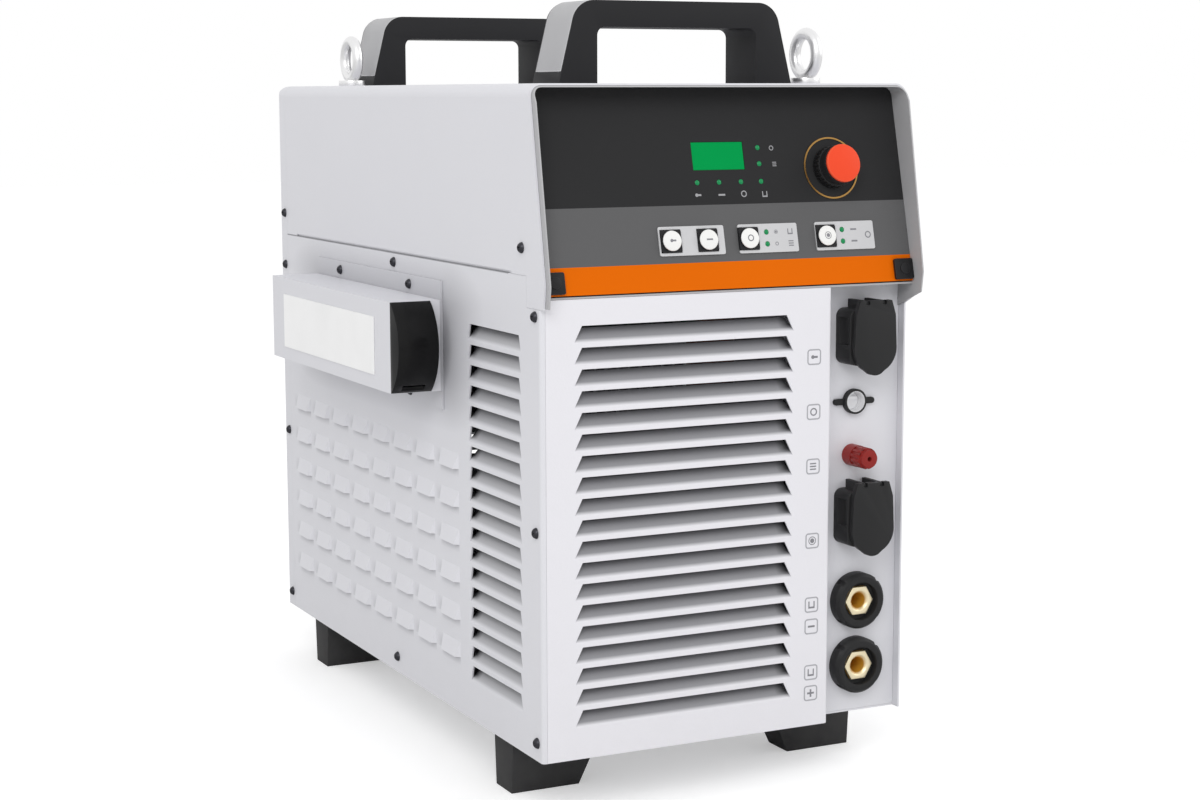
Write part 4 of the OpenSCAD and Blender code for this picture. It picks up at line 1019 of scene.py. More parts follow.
class Finishes:
    """Every finish on the unit, by the name of the record's slot where it has one.

    A powder coat, a plastic and a plated metal take the roughness of their smoothest patches
    third. A plastic takes the depth of its grain and its gloss next, and a plated metal how far
    its patches are tinted, and the tint.
    """

    CABINET = PowderCoat("cabinet_paint", "dedee3")
    LEFT = VentedCoat("left_paint", "dedee3", outward=(-1.0, 0.0), box=BoxShadow())
    RIGHT = VentedCoat("right_paint", "dedee3", outward=(1.0, 0.0))
    BOX = BoxCoat("box_paint", "dedee3")
    COVER = CoverCoat("cover_paint", "dedee3")
    REAR = LouvredCoat(
        "rear_paint",
        "dedee3",
        outward=(0.0, 1.0),
        plane=0.299,
        across=(-0.0565, 0.0565),
        rise=(0.175, 0.276),
    )
    # The front sheet is painted lighter than the other sheets: painted light for the brighter light
    # on the front.
    FRONT = LouvredCoat("front_paint", "e6e5ea", 0.33)
    LINER = PowderCoat("liner_paint", "b1b1b3", 0.45)
    PLATE = PowderCoat("plate_paint", "2e2e30", 0.45)
    FILM = FilmBands("overlay_film", "303031")
    DISPLAY = LitWindow("display_glass", "009549")
    BLACK = MouldedPlastic("black_plastic", "1c1c1e")
    LENS = LampLens("lamp_lens", "0c7a46")
    PLATE_GREY = MouldedPlastic("plate_grey", "cdcdcf", 0.32, 0.00001)
    BUTTON = MouldedPlastic("button_white", "f2f2f0", 0.24, 0.00001)
    GOLD = PlatedMetal("ring_gold", "a9834c", 0.22, 0.2, "8a6432")
    ORANGE = MouldedPlastic("dial_orange", "f25030", 0.32, 0.00001, 0.1)
    STEEL = PlatedMetal("bright_steel", "ededee", 0.22, 0.12, "cfccc2")
    BOARD = CircuitBoard("circuit_board", "0f4220")
    SOCKET = MouldedPlastic("socket_black", "232324")
    MOUTH = LinedMouth("socket_black_lined", "232324")
    INSERT = MouldedPlastic("insert_grey", "f4f4f6", 0.37)
    RED = MouldedPlastic("post_red", "8e2420", 0.28, 0.00001)
    CONTACT = SocketBrass("contact_brass", "d9a63c")
    BRASS = PlatedMetal("stud_brass", "d9b76a", 0.18, 0.3, "a98236")
    WHITE = MouldedPlastic("plate_white", "ffffff", 0.27, 0.00001, 0.5)
    HOOD = MouldedPlastic("hood_black", "0a0a0b", 0.14, 0.00001, 0.2)
    HANDLE = MouldedPlastic("handle_black", "242426", 0.47, 0.00004, 0.2)
    TRIM = MouldedPlastic("trim_grey", "b7b7b9", 0.37, 0.00001)
    FOOT = Rubber("foot_black", "303032")
    SCREW = PlatedMetal("screw_black", "3a3a3e", 0.26, 0.3, "5a5a60")
    BREAKER = MouldedPlastic("breaker_plastic", "cfcfcb", 0.34)
    ZINC = PlatedMetal("zinc_sheet", "b8babd", 0.32, 0.3, "a9adb3")
    CAST = PlatedMetal("cast_alloy", "8f9296", 0.42, 0.4, "6f7276")
    RUBBER = Rubber("black_rubber", "1b1b1c")
    SINK = Extrusion("sink_alloy", "c3c5c8")
    COPPER = Winding("winding_brown", "8a4a22")
    LABEL_INK = Ink("label_ink", "adadb2")
    SIGN_INK = Ink("sign_ink", "86868b")
    PALE_INK = Ink("pale_ink", "a2a2a5")


# ------------------------------------------------------------------ making pieces


@dataclass(frozen=True)
class Edge:
    """The rounding of a piece's edges: its width, its facets, and which edges are rounded.

    Edges that turn by more degrees than sharper are, and inner corners only where inner says so.
    """

    width: float
    facets: int = 2
    sharper: float = 40.0
    inner: bool = True


def kept_mesh(mesh: bmesh.types.BMesh, name: str) -> bpy.types.Mesh:
    """Keep a mesh under construction as mesh data, and free it.

    Args:
        mesh: The mesh under construction.
        name: The name of the data.

    Returns:
        The mesh data.
    """
    data = bpy.data.meshes.new(name)
    mesh.to_mesh(data)
    mesh.free()
    return data


class Shape:
    """A mesh under construction, in the row frame."""

    FACETS = 24
    CORNER_FACETS = 4
    SMOOTH_BELOW = math.radians(35.0)

    def __init__(self) -> None:
        """Start with nothing."""
        self.mesh = bmesh.new()

    def block(self, size: Sequence[float], where: Matrix) -> None:
        """Add a block of a size, centred in a frame."""
        matrix = where @ Matrix.Diagonal((*size, 1.0))
        bmesh.ops.create_cube(self.mesh, size=1.0, matrix=matrix)

    def disc(self, radius: float, thick: float, where: Matrix) -> None:
        """Add a flat round with its middle in a frame's origin.

        Args:
            radius: Its radius.
            thick: Its thickness.
            where: The frame.
        """
        bmesh.ops.create_cone(
            self.mesh,
            cap_ends=True,
            cap_tris=False,
            segments=self.FACETS,
            radius1=radius,
            radius2=radius,
            depth=thick,
            matrix=where,
        )

    def turned(self, profile: Sequence[tuple[float, float]], where: Matrix) -> None:
        """Spin a profile round a frame's Z axis.

        Args:
            profile: Radius and height of each of its points, from the axis or back to the start.
            where: The frame.
        """
        before = set(self.mesh.verts)
        verts = [self.mesh.verts.new((radius, 0.0, height)) for radius, height in profile]
        edges = [self.mesh.edges.new(pair) for pair in zip(verts, verts[1:])]
        bmesh.ops.spin(
            self.mesh,
            geom=verts + edges,
            cent=(0, 0, 0),
            axis=UP,
            dvec=(0, 0, 0),
            angle=math.tau,
            steps=self.FACETS,
            use_merge=True,
            use_duplicate=False,
        )
        bmesh.ops.remove_doubles(self.mesh, verts=self.since(before), dist=MERGE / 2)
        bmesh.ops.transform(self.mesh, matrix=where, verts=self.since(before))

    def since(self, before: set[bmesh.types.BMVert]) -> list[bmesh.types.BMVert]:
        """The corners that were added since a set of them was taken."""
        return [v for v in self.mesh.verts if v not in before]

    def ring(self, outer: float, inner: float, thick: float, where: Matrix) -> None:
        """Add a flat ring by spinning its section.

        Args:
            outer: Its outer radius.
            inner: Its inner radius.
            thick: Its thickness.
            where: The frame.
        """
        half = thick / 2
        section = [(outer, -half), (outer, half), (inner, half), (inner, -half), (outer, -half)]
        self.turned(section, where)

    def outline(self, size: float, line: float, thick: float, corner: float, where: Matrix) -> None:
        """Add a flat square outline with rounded corners.

        Args:
            size: Side of the square.
            line: Width of its line.
            thick: Height of the print.
            corner: Radius of its corners.
            where: The frame that it lies in.
        """
        flat = bmesh.new()
        made = bmesh.ops.create_grid(flat, x_segments=1, y_segments=1, size=size / 2)
        bmesh.ops.bevel(
            flat,
            geom=made["verts"],
            offset=corner,
            offset_type="OFFSET",
            segments=self.CORNER_FACETS,
            profile=0.5,
            affect="VERTICES",
            material=-1,
        )
        middle = max(flat.faces, key=lambda f: f.calc_area())
        ring = bmesh.ops.inset_individual(
            flat, faces=[middle], thickness=line, use_even_offset=True
        )
        bmesh.ops.delete(flat, geom=[middle], context="FACES")
        raised = bmesh.ops.extrude_face_region(flat, geom=ring["faces"], use_keep_orig=True)
        top = [v for v in raised["geom"] if isinstance(v, bmesh.types.BMVert)]
        bmesh.ops.translate(flat, vec=(0, 0, thick), verts=top)
        bmesh.ops.recalc_face_normals(flat, faces=flat.faces)
        pattern = kept_mesh(flat, "outline")
        self.stamp(pattern, where)
        bpy.data.meshes.remove(pattern)

    def stamp(self, pattern: bpy.types.Mesh, where: Matrix) -> None:
        """Add a copy of a finished mesh.

        Args:
            pattern: The mesh.
            where: The frame that the copy lies in.
        """
        before = set(self.mesh.verts)
        self.mesh.from_mesh(pattern)
        bmesh.ops.transform(self.mesh, matrix=where, verts=self.since(before))

    def rounded(self, edge: Edge) -> None:
        """Round the sharp edges of everything so far, and mark the rounding as worn.

        Args:
            edge: What the rounding is like.
        """
        layer = self.mesh.faces.layers.float.new(WEAR)
        sharp = [
            e
            for e in self.mesh.edges
            if len(e.link_faces) == 2
            and e.calc_face_angle(0.0) > math.radians(edge.sharper)
            and (edge.inner or e.is_convex)
        ]
        made = bmesh.ops.bevel(
            self.mesh,
            geom=sharp,
            offset=edge.width,
            offset_type="OFFSET",
            segments=edge.facets,
            profile=0.5,
            affect="EDGES",
            clamp_overlap=True,
            material=-1,
        )
        for face in made["faces"]:
            face[layer] = 1.0

    def done(self, name: str, finish: Finish) -> bpy.types.Object:
        """Turn the mesh into an object.

        Args:
            name: The object's name.
            finish: Its finish.

        Returns:
            The object.
        """
        bmesh.ops.recalc_face_normals(self.mesh, faces=self.mesh.faces)
        data = kept_mesh(self.mesh, name)
        data.polygons.foreach_set("use_smooth", [True] * len(data.polygons))
        data.set_sharp_from_angle(angle=self.SMOOTH_BELOW)
        data.materials.append(finish.material())
        made = bpy.data.objects.new(name, data)
        bpy.context.scene.collection.objects.link(made)
        return made


@dataclass
class Assembly:
    """What every sub-assembly shares: the frame's nodes and ways to dress them."""

    # A face of a CAD mesh is made one with its neighbour below this turn, in radians.
    FLAT_BELOW = math.radians(1.0)

    nodes: dict[str, bpy.types.Object]
    pieces: list[str] = field(default_factory=list)

    def dress(self, node: str, finish: Finish) -> None:
        """Give a CAD node its finish.

        Args:
            node: The node.
            finish: Its finish.
        """
        for slot in self.nodes[node].material_slots:
            slot.material = finish.material()
        self.pieces.append(node)

    def add(
        self,
        shape: Shape,
        name: str,
        finish: Finish,
        body: Body = Body.CABINET,
        replaces: Iterable[str] = (),
    ) -> bpy.types.Object:
        """Finish a new piece and put it on its body.

        Args:
            shape: Its mesh.
            name: Its name.
            finish: Its finish.
            body: The body that it rides on.
            replaces: The CAD nodes that it stands for.

        Returns:
            The object.
        """
        made = shape.done(name, finish)
        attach(made, body.value)
        if replaces:
            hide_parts(*replaces)
        self.pieces.append(name)
        return made

    def soften(
        self, node: str, finish: Finish, edge: Edge, body: Body = Body.CABINET
    ) -> bpy.types.Object:
        """Stand a copy with rounded edges in for a CAD node.

        Args:
            node: The node.
            finish: Its finish, which shows wear along those edges.
            edge: What the rounding is like.
            body: The body that it rides on.

        Returns:
            The object.
        """
        shape = Shape()
        mesh = shape.mesh
        mesh.from_mesh(self.nodes[node].data)
        bmesh.ops.remove_doubles(mesh, verts=mesh.verts, dist=MERGE)
        bmesh.ops.dissolve_degenerate(mesh, edges=mesh.edges, dist=MERGE / 2)
        bmesh.ops.dissolve_limit(
            mesh, angle_limit=self.FLAT_BELOW, verts=mesh.verts, edges=mesh.edges
        )
        shape.rounded(edge)
        made = self.add(shape, f"{node}_finished", finish, body, [node])
        return made


def square_to(direction: Vector, origin: Vector, up: Vector) -> Matrix:
    """A frame with its Z along a direction and its Y as near as can be to another.

    Args:
        direction: Where Z points.
        origin: The frame's origin.
        up: Where Y points, roughly.

    Returns:
        The frame's matrix.
    """
    z = direction.normalized()
    x = up.cross(z).normalized()
    y = z.cross(x)
    matrix = Matrix((x, y, z)).transposed().to_4x4()
    matrix.translation = origin
    return matrix


# ------------------------------------------------------------------ sub-assemblies


@dataclass
class Enclosure(Assembly):
    """The cabinet's sheet metal and its screws."""

    screw_r: float = 4.4 * MM
    screw_h: float = 3.6 * MM
    screw_turn: tuple[float, float, float] = (0.0, 0.3, 1.0)
    dome_angles: tuple[float, ...] = (70.0, 58.0, 46.0, 35.0, 18.0, 0.0)
    shank_r: float = 1.9 * MM
    shank_l: float = 7.0 * MM
    tip_l: float = 1.2 * MM
    tip_share: float = 0.6
    slot_half: float = 0.5 * MM
    slot_deep: float = 1.7 * MM
    slot_angle: float = 35.0
    slot_taper: float = 0.62

    def build(self) -> None:
        """Dress the sheets and model the screws."""
        self.dress("base_tray", Finishes.CABINET)
        self.dress("connector_panel", Finishes.CABINET)
        self.dress("top_cover", Finishes.COVER)
        self.dress("left_side_panel", Finishes.LEFT)
        self.dress("right_side_panel", Finishes.RIGHT)
        self.dress("rear_panel", Finishes.REAR)
        self.dress("front_louvre_panel", Finishes.FRONT)
        self.screws()

    def screws(self) -> None:
        """Model a cross-recessed pan head on each cover screw."""
        pattern = self.screw()
        shape = Shape()
        for low, high in self.islands("cabinet_screws"):
            outward = -1.0 if low.x + high.x < 0 else 1.0
            tip = low.x if outward < 0 else high.x
            seat = (low + high) / 2
            seat.x = tip - outward * self.screw_h
            frame = square_to(Vector((outward, 0, 0)), seat, Vector(self.screw_turn))
            shape.stamp(pattern, frame)
        made = self.add(shape, "cover_screw_heads", Finishes.SCREW, replaces=["cabinet_screws"])
        bpy.data.meshes.remove(pattern)

    def screw(self) -> bpy.types.Mesh:
        """One screw along Z: a domed head with a cross recess, on a pointed shank.

        Returns:
            Its mesh, with the seat of the head at the origin.
        """
        radius, height = self.screw_r, self.screw_h
        dome = (radius * radius + height * height) / (2 * height)
        profile = [
            (0, -self.shank_l),
            (self.shank_r * self.tip_share, -self.shank_l),
            (self.shank_r, self.tip_l - self.shank_l),
            (self.shank_r, 0),
            (radius, 0),
        ]
        for turn in map(math.radians, self.dome_angles):
            profile.append((dome * math.sin(turn), height - dome + dome * math.cos(turn)))
        shape = Shape()
        shape.turned(profile, Matrix())
        mesh = shape.mesh
        for normal in (Vector((1, 0, 0)), Vector((0, 1, 0))):
            for side in (-1, 1):
                bmesh.ops.bisect_plane(
                    mesh,
                    geom=[*mesh.verts, *mesh.edges, *mesh.faces],
                    dist=TOUCH,
                    plane_co=normal * self.slot_half * side,
                    plane_no=normal,
                )
        reach = dome * math.sin(math.radians(self.slot_angle))
        cross = [f for f in mesh.faces if self.in_cross(f.calc_center_median(), reach)]
        sunk = bmesh.ops.extrude_face_region(mesh, geom=cross)
        floor = [v for v in sunk["geom"] if isinstance(v, bmesh.types.BMVert)]
        bmesh.ops.translate(mesh, verts=floor, vec=(0, 0, -self.slot_deep))
        bmesh.ops.scale(mesh, verts=floor, vec=(self.slot_taper, self.slot_taper, 1.0))
        bmesh.ops.delete(mesh, geom=[f for f in cross if f.is_valid], context="FACES")
        bmesh.ops.recalc_face_normals(mesh, faces=mesh.faces)
        return kept_mesh(mesh, "screw")

    def in_cross(self, point: Vector, reach: float) -> bool:
        """Whether a point of the head lies in the cross recess."""
        near = min(abs(point.x), abs(point.y)) < self.slot_half
        return near and point.z > self.screw_h / 2 and math.hypot(point.x, point.y) < reach

    def islands(self, node: str) -> list[tuple[Vector, Vector]]:
        """Find the separate solids of a node.

        Args:
            node: The node.

        Returns:
            The lowest and highest corner of each.
        """
        mesh = bmesh.new()
        mesh.from_mesh(self.nodes[node].data)
        bmesh.ops.remove_doubles(mesh, verts=mesh.verts, dist=MERGE)
        left = set(mesh.verts)
        found = []
        while left:
            reach = [left.pop()]
            points = []
            while reach:
                vert = reach.pop()
                points.append(vert.co.copy())
                for edge in vert.link_edges:
                    other = edge.other_vert(vert)
                    if other in left:
                        left.remove(other)
                        reach.append(other)
            low = Vector([min(p[i] for p in points) for i in range(3)])
            high = Vector([max(p[i] for p in points) for i in range(3)])
            found.append((low, high))
        mesh.free()
        return found


@dataclass
class Console(Assembly):
    """The sloped control console."""

    button_edge: Edge = Edge(0.5 * MM, inner=False)
    knob_edge: Edge = Edge(0.4 * MM)
    cap_edge: Edge = Edge(0.8 * MM)
    block_edge: Edge = Edge(0.8 * MM)

    def build(self) -> None:
        """Dress and round its pieces."""
        self.dress("console_shell", Finishes.LINER)
        self.dress("console_plate", Finishes.PLATE)
        self.dress("control_overlay", Finishes.FILM)
        self.dress("display_window", Finishes.DISPLAY)
        self.dress("display_module", Finishes.BLACK)
        self.dress("indicator_lamps", Finishes.LENS)
        self.dress("button_plates", Finishes.PLATE_GREY)
        self.dress("dial_ring", Finishes.GOLD)
        self.dress("dial_encoder", Finishes.BLACK)
        self.dress("dial_shaft", Finishes.STEEL)
        self.dress("control_board", Finishes.BOARD)
        self.dress("button_housings", Finishes.BLACK)
        for body in (Body.BUTTON_1, Body.BUTTON_2, Body.BUTTON_3, Body.BUTTON_4):
            self.soften(body.value, Finishes.BUTTON, self.button_edge, body)
        self.soften("dial_knob", Finishes.BLACK, self.knob_edge, Body.DIAL)
        self.soften("dial_cap", Finishes.ORANGE, self.cap_edge, Body.DIAL)
        self.soften("console_blocks", Finishes.BLACK, self.block_edge)


class Symbol(Enum):
    """The generic symbols that are printed."""

    MINUS = "minus"
    PLUS = "plus"
    DOT = "dot"
    RING = "ring"
    BARS = "bars"
    TORCH = "torch"
    HOSE = "hose"


# The bars of each symbol: place across, place up, width and height, in widths of the symbol.
BARS: dict[Symbol, tuple[tuple[float, float, float, float], ...]] = {
    Symbol.MINUS: ((0, 0, 1, 0.24),),
    Symbol.PLUS: ((0, 0, 1, 0.24), (0, 0.31, 0.24, 0.38), (0, -0.31, 0.24, 0.38)),
    Symbol.BARS: ((0, -0.36, 0.9, 0.16), (0, 0, 0.9, 0.16), (0, 0.36, 0.9, 0.16)),
    Symbol.TORCH: ((0.26, 0, 0.5, 0.26),),
    Symbol.HOSE: ((-0.38, 0.1, 0.16, 0.7), (0.38, 0.1, 0.16, 0.7), (0, -0.36, 0.92, 0.22)),
}

# The rounds of each symbol: place across, outer and inner radius, in widths of the symbol.
ROUNDS: dict[Symbol, tuple[tuple[float, float, float], ...]] = {
    Symbol.DOT: ((0, 0.3, 0), (0, 0.55, 0.45)),
    Symbol.RING: ((0, 0.5, 0.34),),
    Symbol.TORCH: ((-0.2, 0.24, 0),),
}


@dataclass
class Printing(Assembly):
    """Printed symbols on the louvre panel, the control film, the plates and the buttons.

    A label has a height in millimetres. The other signs have a place across the sloped face, most
    of them a distance down it, and a width, in millimetres too.
    """

    thick: float = 0.1 * MM
    label: float = 12.8 * MM
    label_sign: float = 6.4 * MM
    label_line: float = 1.1 * MM
    label_corner: float = 2.6 * MM
    label_x: float = 72.6 * MM
    panel_y: float = -321.0 * MM
    face_y: float = -287.0 * MM
    face_z: float = 555.0 * MM
    face_tilt: float = math.radians(13.4)
    plate_top: float = 1.1 * MM
    cap_top: float = 4.8 * MM
    button_s: float = 109.5 * MM
    button_sign: float = 5.4 * MM
    labels: tuple[tuple[float, Symbol], ...] = (
        (352.5, Symbol.TORCH),
        (308.0, Symbol.RING),
        (263.5, Symbol.BARS),
        (202.3, Symbol.DOT),
        (149.2, Symbol.HOSE),
        (131.1, Symbol.MINUS),
        (92.6, Symbol.HOSE),
        (75.2, Symbol.PLUS),
    )
    film_signs: tuple[tuple[float, float, float, Symbol], ...] = (
        (45.8, 37.0, 4.0, Symbol.RING),
        (47.2, 50.0, 4.0, Symbol.BARS),
        (-24.9, 73.6, 5.6, Symbol.TORCH),
        (-3.6, 73.8, 6.0, Symbol.MINUS),
        (16.4, 73.4, 5.2, Symbol.RING),
        (35.4, 74.0, 5.0, Symbol.HOSE),
    )
    plate_signs: tuple[tuple[float, float, float, Symbol], ...] = (
        (41.0, 104.7, 3.0, Symbol.DOT),
        (41.0, 114.2, 3.0, Symbol.RING),
        (54.0, 104.7, 5.0, Symbol.HOSE),
        (54.0, 114.2, 5.0, Symbol.BARS),
        (113.4, 104.7, 5.6, Symbol.MINUS),
        (113.4, 114.2, 5.6, Symbol.MINUS),
        (126.8, 109.4, 5.6, Symbol.RING),
    )
    button_signs: tuple[tuple[Body, float, Symbol], ...] = (
        (Body.BUTTON_1, -53.8, Symbol.TORCH),
        (Body.BUTTON_2, -21.3, Symbol.MINUS),
        (Body.BUTTON_3, 15.6, Symbol.RING),
        (Body.BUTTON_4, 87.0, Symbol.DOT),
    )

    def build(self) -> None:
        """Print every symbol."""
        frames = Shape()
        signs = Shape()
        for height, symbol in self.labels:
            where = self.on_panel(height * MM)
            frames.outline(self.label, self.label_line, self.thick, self.label_corner, where)
            self.sign(signs, symbol, self.label_sign, where)
        self.add(frames, "socket_label_frames", Finishes.LABEL_INK)
        self.add(signs, "socket_label_signs", Finishes.SIGN_INK)
        film = Shape()
        for x, s, size, symbol in self.film_signs:
            self.sign(film, symbol, size * MM, self.on_face(x * MM, s * MM))
        self.add(film, "film_signs", Finishes.PALE_INK)
        plate = Shape()
        for x, s, size, symbol in self.plate_signs:
            self.sign(plate, symbol, size * MM, self.on_face(x * MM, s * MM, self.plate_top))
        self.add(plate, "plate_signs", Finishes.SIGN_INK)
        for body, x, symbol in self.button_signs:
            cap = Shape()
            where = self.on_face(x * MM, self.button_s, self.cap_top)
            self.sign(cap, symbol, self.button_sign, where)
            self.add(cap, f"{body.value}_sign", Finishes.SIGN_INK, body)

    def on_panel(self, height: float) -> Matrix:
        """A frame on the front of the louvre panel, in the column of labels."""
        origin = Vector((self.label_x, self.panel_y, height))
        return square_to(Vector((0, -1, 0)), origin, UP)

    def on_face(self, x: float, s: float, lift: float = 0.0) -> Matrix:
        """A frame on the sloped face.

        Args:
            x: Place across the face.
            s: Distance down the slope.
            lift: Height above the film.

        Returns:
            The frame, with Y up the slope.
        """
        sine, cosine = math.sin(self.face_tilt), math.cos(self.face_tilt)
        outward = Vector((0, -cosine, sine))
        origin = Vector((x, self.face_y - s * sine, self.face_z - s * cosine)) + outward * lift
        return square_to(outward, origin, UP)

    def sign(self, shape: Shape, symbol: Symbol, size: float, where: Matrix) -> None:
        """Draw a symbol.

        Args:
            shape: The print that it is part of.
            symbol: Which one.
            size: Its width.
            where: The frame that it lies in.
        """
        for x, outer, inner in ROUNDS.get(symbol, ()):
            middle = self.raised(where, x * size)
            if inner:
                shape.ring(outer * size, inner * size, self.thick, middle)
            else:
                shape.disc(outer * size, self.thick, middle)
        for x, y, width, height in BARS.get(symbol, ()):
            middle = self.raised(where, x * size, y * size)
            shape.block((width * size, height * size, self.thick), middle)

    def raised(self, where: Matrix, x: float = 0.0, y: float = 0.0) -> Matrix:
        """A frame moved so that a print centred on it lies on the surface."""
        return where @ Matrix.Translation((x, y, self.thick / 2))


@dataclass
class ConnectorColumn(Assembly):
    """Sockets, post and outputs in the recess on the right."""

    body_edge: Edge = Edge(0.6 * MM)
    lid_edge: Edge = Edge(0.9 * MM)
    housing_edge: Edge = Edge(0.8 * MM)
    fine_edge: Edge = Edge(0.4 * MM)

    def build(self) -> None:
        """Dress and round its pieces."""
        self.soften("upper_socket_body", Finishes.SOCKET, self.body_edge)
        self.soften("lower_socket_body", Finishes.SOCKET, self.body_edge)
        self.soften("upper_socket_lid", Finishes.SOCKET, self.lid_edge, Body.UPPER_LID)
        self.soften("lower_socket_lid", Finishes.SOCKET, self.lid_edge, Body.LOWER_LID)
        self.dress("lid_pins", Finishes.STEEL)
        socket = self.soften("control_socket", Finishes.MOUTH, self.fine_edge)
        self.dress("control_insert", Finishes.INSERT)
        self.dress("pilot_post", Finishes.RED)
        self.soften("pilot_post_cap", Finishes.RED, self.fine_edge, Body.POST_CAP)
        for node in ("negative", "positive"):
            self.soften(f"{node}_housing", Finishes.SOCKET, self.housing_edge)
            self.soften(f"{node}_contact", Finishes.CONTACT, self.fine_edge)


@dataclass
class AirIntake(Assembly):
    """The box, plate and hood on the left side."""

    hood_edge: Edge = Edge(0.8 * MM)

    def build(self) -> None:
        """Dress and round its pieces."""
        self.dress("intake_box", Finishes.BOX)
        self.dress("intake_plate", Finishes.WHITE)
        self.soften("intake_hood", Finishes.HOOD, self.hood_edge)


@dataclass
class Carrying(Assembly):
    """Handles, trims, lifting eyes and feet.

    A trim follows the leg of its handle from base_z up and then round its corner, from one angle
    to another. A span is the front edge and the depth of a handle.
    """

    base_z: float = 570.2 * MM
    base_half: float = 107.0 * MM
    corner_x: float = 75.0 * MM
    corner_z: float = 46.0 * MM
    corner_r: float = 20.0 * MM
    corner_from: float = 10.0
    corner_to: float = 78.0
    corner_steps: int = 10
    trim_low: float = 9.4 * MM
    trim_thick: float = 2.4 * MM
    trim_proud: float = 0.35 * MM
    trim_margin: float = 1.2 * MM
    spans: tuple[tuple[float, float], ...] = ((-224.0 * MM, 51.0 * MM), (197.0 * MM, 60.0 * MM))
    trim_edge: Edge = Edge(0.9 * MM, sharper=50.0)
    handle_edge: Edge = Edge(1.6 * MM, facets=3)
    eye_edge: Edge = Edge(0.8 * MM)
    foot_edge: Edge = Edge(1.5 * MM)

    def build(self) -> None:
        """Dress and round its pieces, and model the trims."""
        self.soften("front_handle", Finishes.HANDLE, self.handle_edge)
        self.soften("rear_handle", Finishes.HANDLE, self.handle_edge)
        self.trims()
        self.soften("lifting_eyes", Finishes.STEEL, self.eye_edge)
        self.soften("feet", Finishes.FOOT, self.foot_edge)

    def trims(self) -> None:
        """Model the trims up the sides of both handles."""
        shape = Shape()
        for front, depth in self.spans:
            pattern = self.trim(front + self.trim_margin, depth - 2 * self.trim_margin)
            for side in (-1, 1):
                shape.stamp(pattern, Matrix.Diagonal((side, 1, 1, 1)))
            bpy.data.meshes.remove(pattern)
        made = self.add(shape, "handle_side_trims", Finishes.TRIM, replaces=["handle_trims"])

    def trim(self, front: float, depth: float) -> bpy.types.Mesh:
        """A strip up the leg of a handle and round its corner.

        Args:
            front: Its front edge.
            depth: Its size from front to back.

        Returns:
            The mesh of the strip on the right.
        """
        shape = Shape()
        mesh = shape.mesh
        radius = self.corner_r + self.trim_proud
        start = math.radians(self.corner_from)
        centre = Vector((self.corner_x, front, self.base_z + self.corner_z))
        first = centre + radius * Vector((math.cos(start), 0, math.sin(start)))
        foot = Vector((self.base_half + self.trim_proud, front, self.base_z))
        low = foot.lerp(first, self.trim_low / (first.z - foot.z))
        knee = mesh.verts.new(first)
        leg = bmesh.ops.extrude_vert_indiv(mesh, verts=[knee])
        bmesh.ops.translate(mesh, verts=leg["verts"], vec=low - first)
        bmesh.ops.spin(
            mesh,
            geom=[knee],
            cent=centre,
            axis=(0, -1, 0),
            dvec=(0, 0, 0),
            angle=math.radians(self.corner_to - self.corner_from),
            steps=self.corner_steps,
            use_merge=False,
            use_duplicate=False,
        )
        back = bmesh.ops.extrude_edge_only(mesh, edges=mesh.edges[:])
        verts = [v for v in back["geom"] if isinstance(v, bmesh.types.BMVert)]
        bmesh.ops.translate(mesh, verts=verts, vec=(0, depth, 0))
        bmesh.ops.recalc_face_normals(mesh, faces=mesh.faces)
        if sum(f.normal.x * f.calc_area() for f in mesh.faces) < 0:
            bmesh.ops.reverse_faces(mesh, faces=mesh.faces)
        bmesh.ops.solidify(mesh, geom=mesh.faces[:], thickness=self.trim_thick)
        shape.rounded(self.trim_edge)
        return kept_mesh(mesh, "trim")


@dataclass
class RearFittings(Assembly):
    """Fan, breaker, gland and earth stud."""

    body_edge: Edge = Edge(0.6 * MM)
    toggle_edge: Edge = Edge(0.5 * MM)
    stud_edge: Edge = Edge(0.4 * MM)

    def build(self) -> None:
        """Dress and round its pieces."""
        self.dress("fan_frame", Finishes.BLACK)
        self.dress("fan_rotor", Finishes.BLACK)
        self.soften("mains_breaker", Finishes.BREAKER, self.body_edge)
        self.soften("breaker_toggle", Finishes.BLACK, self.toggle_edge, Body.BREAKER)
        self.soften("cable_gland", Finishes.BLACK, self.body_edge)
        stud = self.soften("earth_stud", Finishes.BRASS, self.stud_edge)


@dataclass
class Inside(Assembly):
    """What stands inside the cabinet."""

    def build(self) -> None:
        """Dress the inner pieces."""
        self.dress("inner_shelf", Finishes.ZINC)
        self.dress("compressor", Finishes.CAST)
        self.dress("compressor_mounts", Finishes.RUBBER)
        self.dress("heat_sink", Finishes.SINK)
        self.dress("main_transformer", Finishes.COPPER)
        self.dress("power_board", Finishes.BOARD)


# ------------------------------------------------------------------ studio


def grey(level: float) -> tuple[float, float, float, float]:
    """A linear grey of a level from zero to one."""
    return level, level, level, 1.0


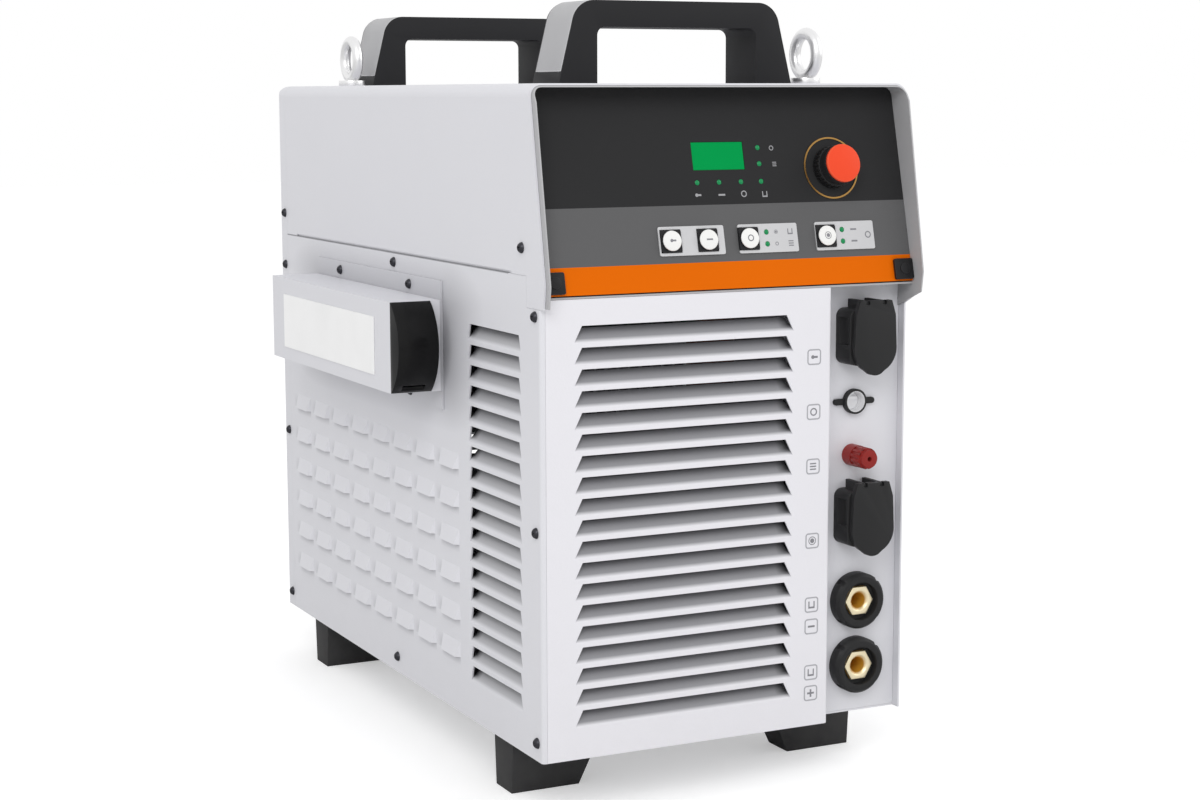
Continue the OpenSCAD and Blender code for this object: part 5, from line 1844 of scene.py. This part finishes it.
@dataclass
class Studio:
    """Floor, light and camera."""

    location: tuple[float, float, float] = (-0.858, -1.8242, 0.5617)
    pitch: float = 0.1376
    roll: float = 0.0022
    yaw: float = 0.4572
    lens: float = 66.23
    sensor: float = 36.0
    clip: tuple[float, float] = (0.05, 50.0)
    ambient: float = 0.8
    floor_half: float = 12.0
    floor_drift: Blotch = Blotch(3, 3)
    floor_tones: tuple[float, float] = (0.82, 0.8)
    floor_glow: float = 0.38
    lamp_size: float = 2.0
    lamp_aim: tuple[float, float, float] = (0.0, 0.0, 0.3)
    key_at: tuple[float, float, float] = (-1.9, -2.9, 2.6)
    key_power: float = 46.0
    fill_at: tuple[float, float, float] = (2.6, -1.2, 1.8)
    fill_power: float = 18.0

    def build(self) -> None:
        """Make the studio."""
        self.camera()
        self.world()
        self.floor()
        self.lamp("key_lamp", self.key_at, self.key_power)
        self.lamp("fill_lamp", self.fill_at, self.fill_power)

    def camera(self) -> None:
        """Place the camera."""
        data = bpy.data.cameras.new("camera")
        data.lens = self.lens
        data.sensor_width = self.sensor
        data.clip_start, data.clip_end = self.clip
        made = bpy.data.objects.new("camera", data)
        made.location = self.location
        made.rotation_euler = (math.pi / 2 - self.pitch, self.roll, -self.yaw)
        bpy.context.scene.collection.objects.link(made)
        bpy.context.scene.camera = made

    def world(self) -> None:
        """Light everything evenly, and show white where nothing stands."""
        world = bpy.data.worlds.new("studio")
        bpy.context.scene.world = world
        world.use_nodes = True
        graph = Graph(world.node_tree)
        path = graph.node("ShaderNodeLightPath")
        seen = graph.term(path, "Is Camera Ray") + graph.term(path, "Is Transmission Ray")
        seen = graph.maths("MINIMUM", seen + graph.term(path, "Is Glossy Ray"), 1.0)
        white = {"Color": grey(1.0), "Strength": self.ambient + seen * (1 - self.ambient)}
        shader = graph.node("ShaderNodeBackground", sockets=white)
        graph.node("ShaderNodeOutputWorld", sockets={"Surface": graph.term(shader)})

    def floor(self) -> None:
        """Lay a white floor that keeps the unit's shadow."""
        mesh = bmesh.new()
        bmesh.ops.create_grid(mesh, x_segments=1, y_segments=1, size=self.floor_half)
        data = kept_mesh(mesh, "floor")
        floor = bpy.data.objects.new("floor", data)
        bpy.context.scene.collection.objects.link(floor)
        material = bpy.data.materials.new("floor_white")
        material.use_nodes = True
        graph = Graph(material.node_tree)
        path = graph.node("ShaderNodeLightPath")
        glow = graph.term(path, "Is Camera Ray") * self.floor_glow
        tone = graph.blend(graph.noise(self.floor_drift), *map(grey, self.floor_tones))
        matt = graph.node("ShaderNodeBsdfDiffuse", sockets={"Color": tone})
        lit = graph.node("ShaderNodeEmission", sockets={"Color": grey(1.0), "Strength": glow})
        both = graph.node("ShaderNodeAddShader", sockets={0: graph.term(matt), 1: graph.term(lit)})
        graph.node("ShaderNodeOutputMaterial", sockets={"Surface": graph.term(both)})
        data.materials.append(material)

    def lamp(self, name: str, place: Sequence[float], power: float) -> None:
        """Hang a square soft lamp that faces the unit.

        Args:
            name: Its name.
            place: Where it hangs.
            power: Its power in watts.
        """
        data = bpy.data.lights.new(name, "AREA")
        data.size = self.lamp_size
        data.energy = power
        made = bpy.data.objects.new(name, data)
        made.location = place
        towards = Vector(self.lamp_aim) - Vector(place)
        made.rotation_euler = towards.to_track_quat("-Z", "Y").to_euler()
        bpy.context.scene.collection.objects.link(made)


def main() -> None:
    """Build the unit's sub-assemblies in order, and the studio."""
    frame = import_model()
    bpy.context.scene.view_settings.view_transform = "Standard"
    kinds = (
        Enclosure,
        Console,
        Printing,
        ConnectorColumn,
        AirIntake,
        Carrying,
        RearFittings,
        Inside,
    )
    for kind in kinds:
        part = kind(frame["nodes"])
        part.build()
        LOG.info("%s: %s", kind.__name__, ", ".join(part.pieces))
    Studio().build()


if __name__ == "__main__":
    logging.basicConfig(level=logging.INFO, format="%(message)s")
    main()
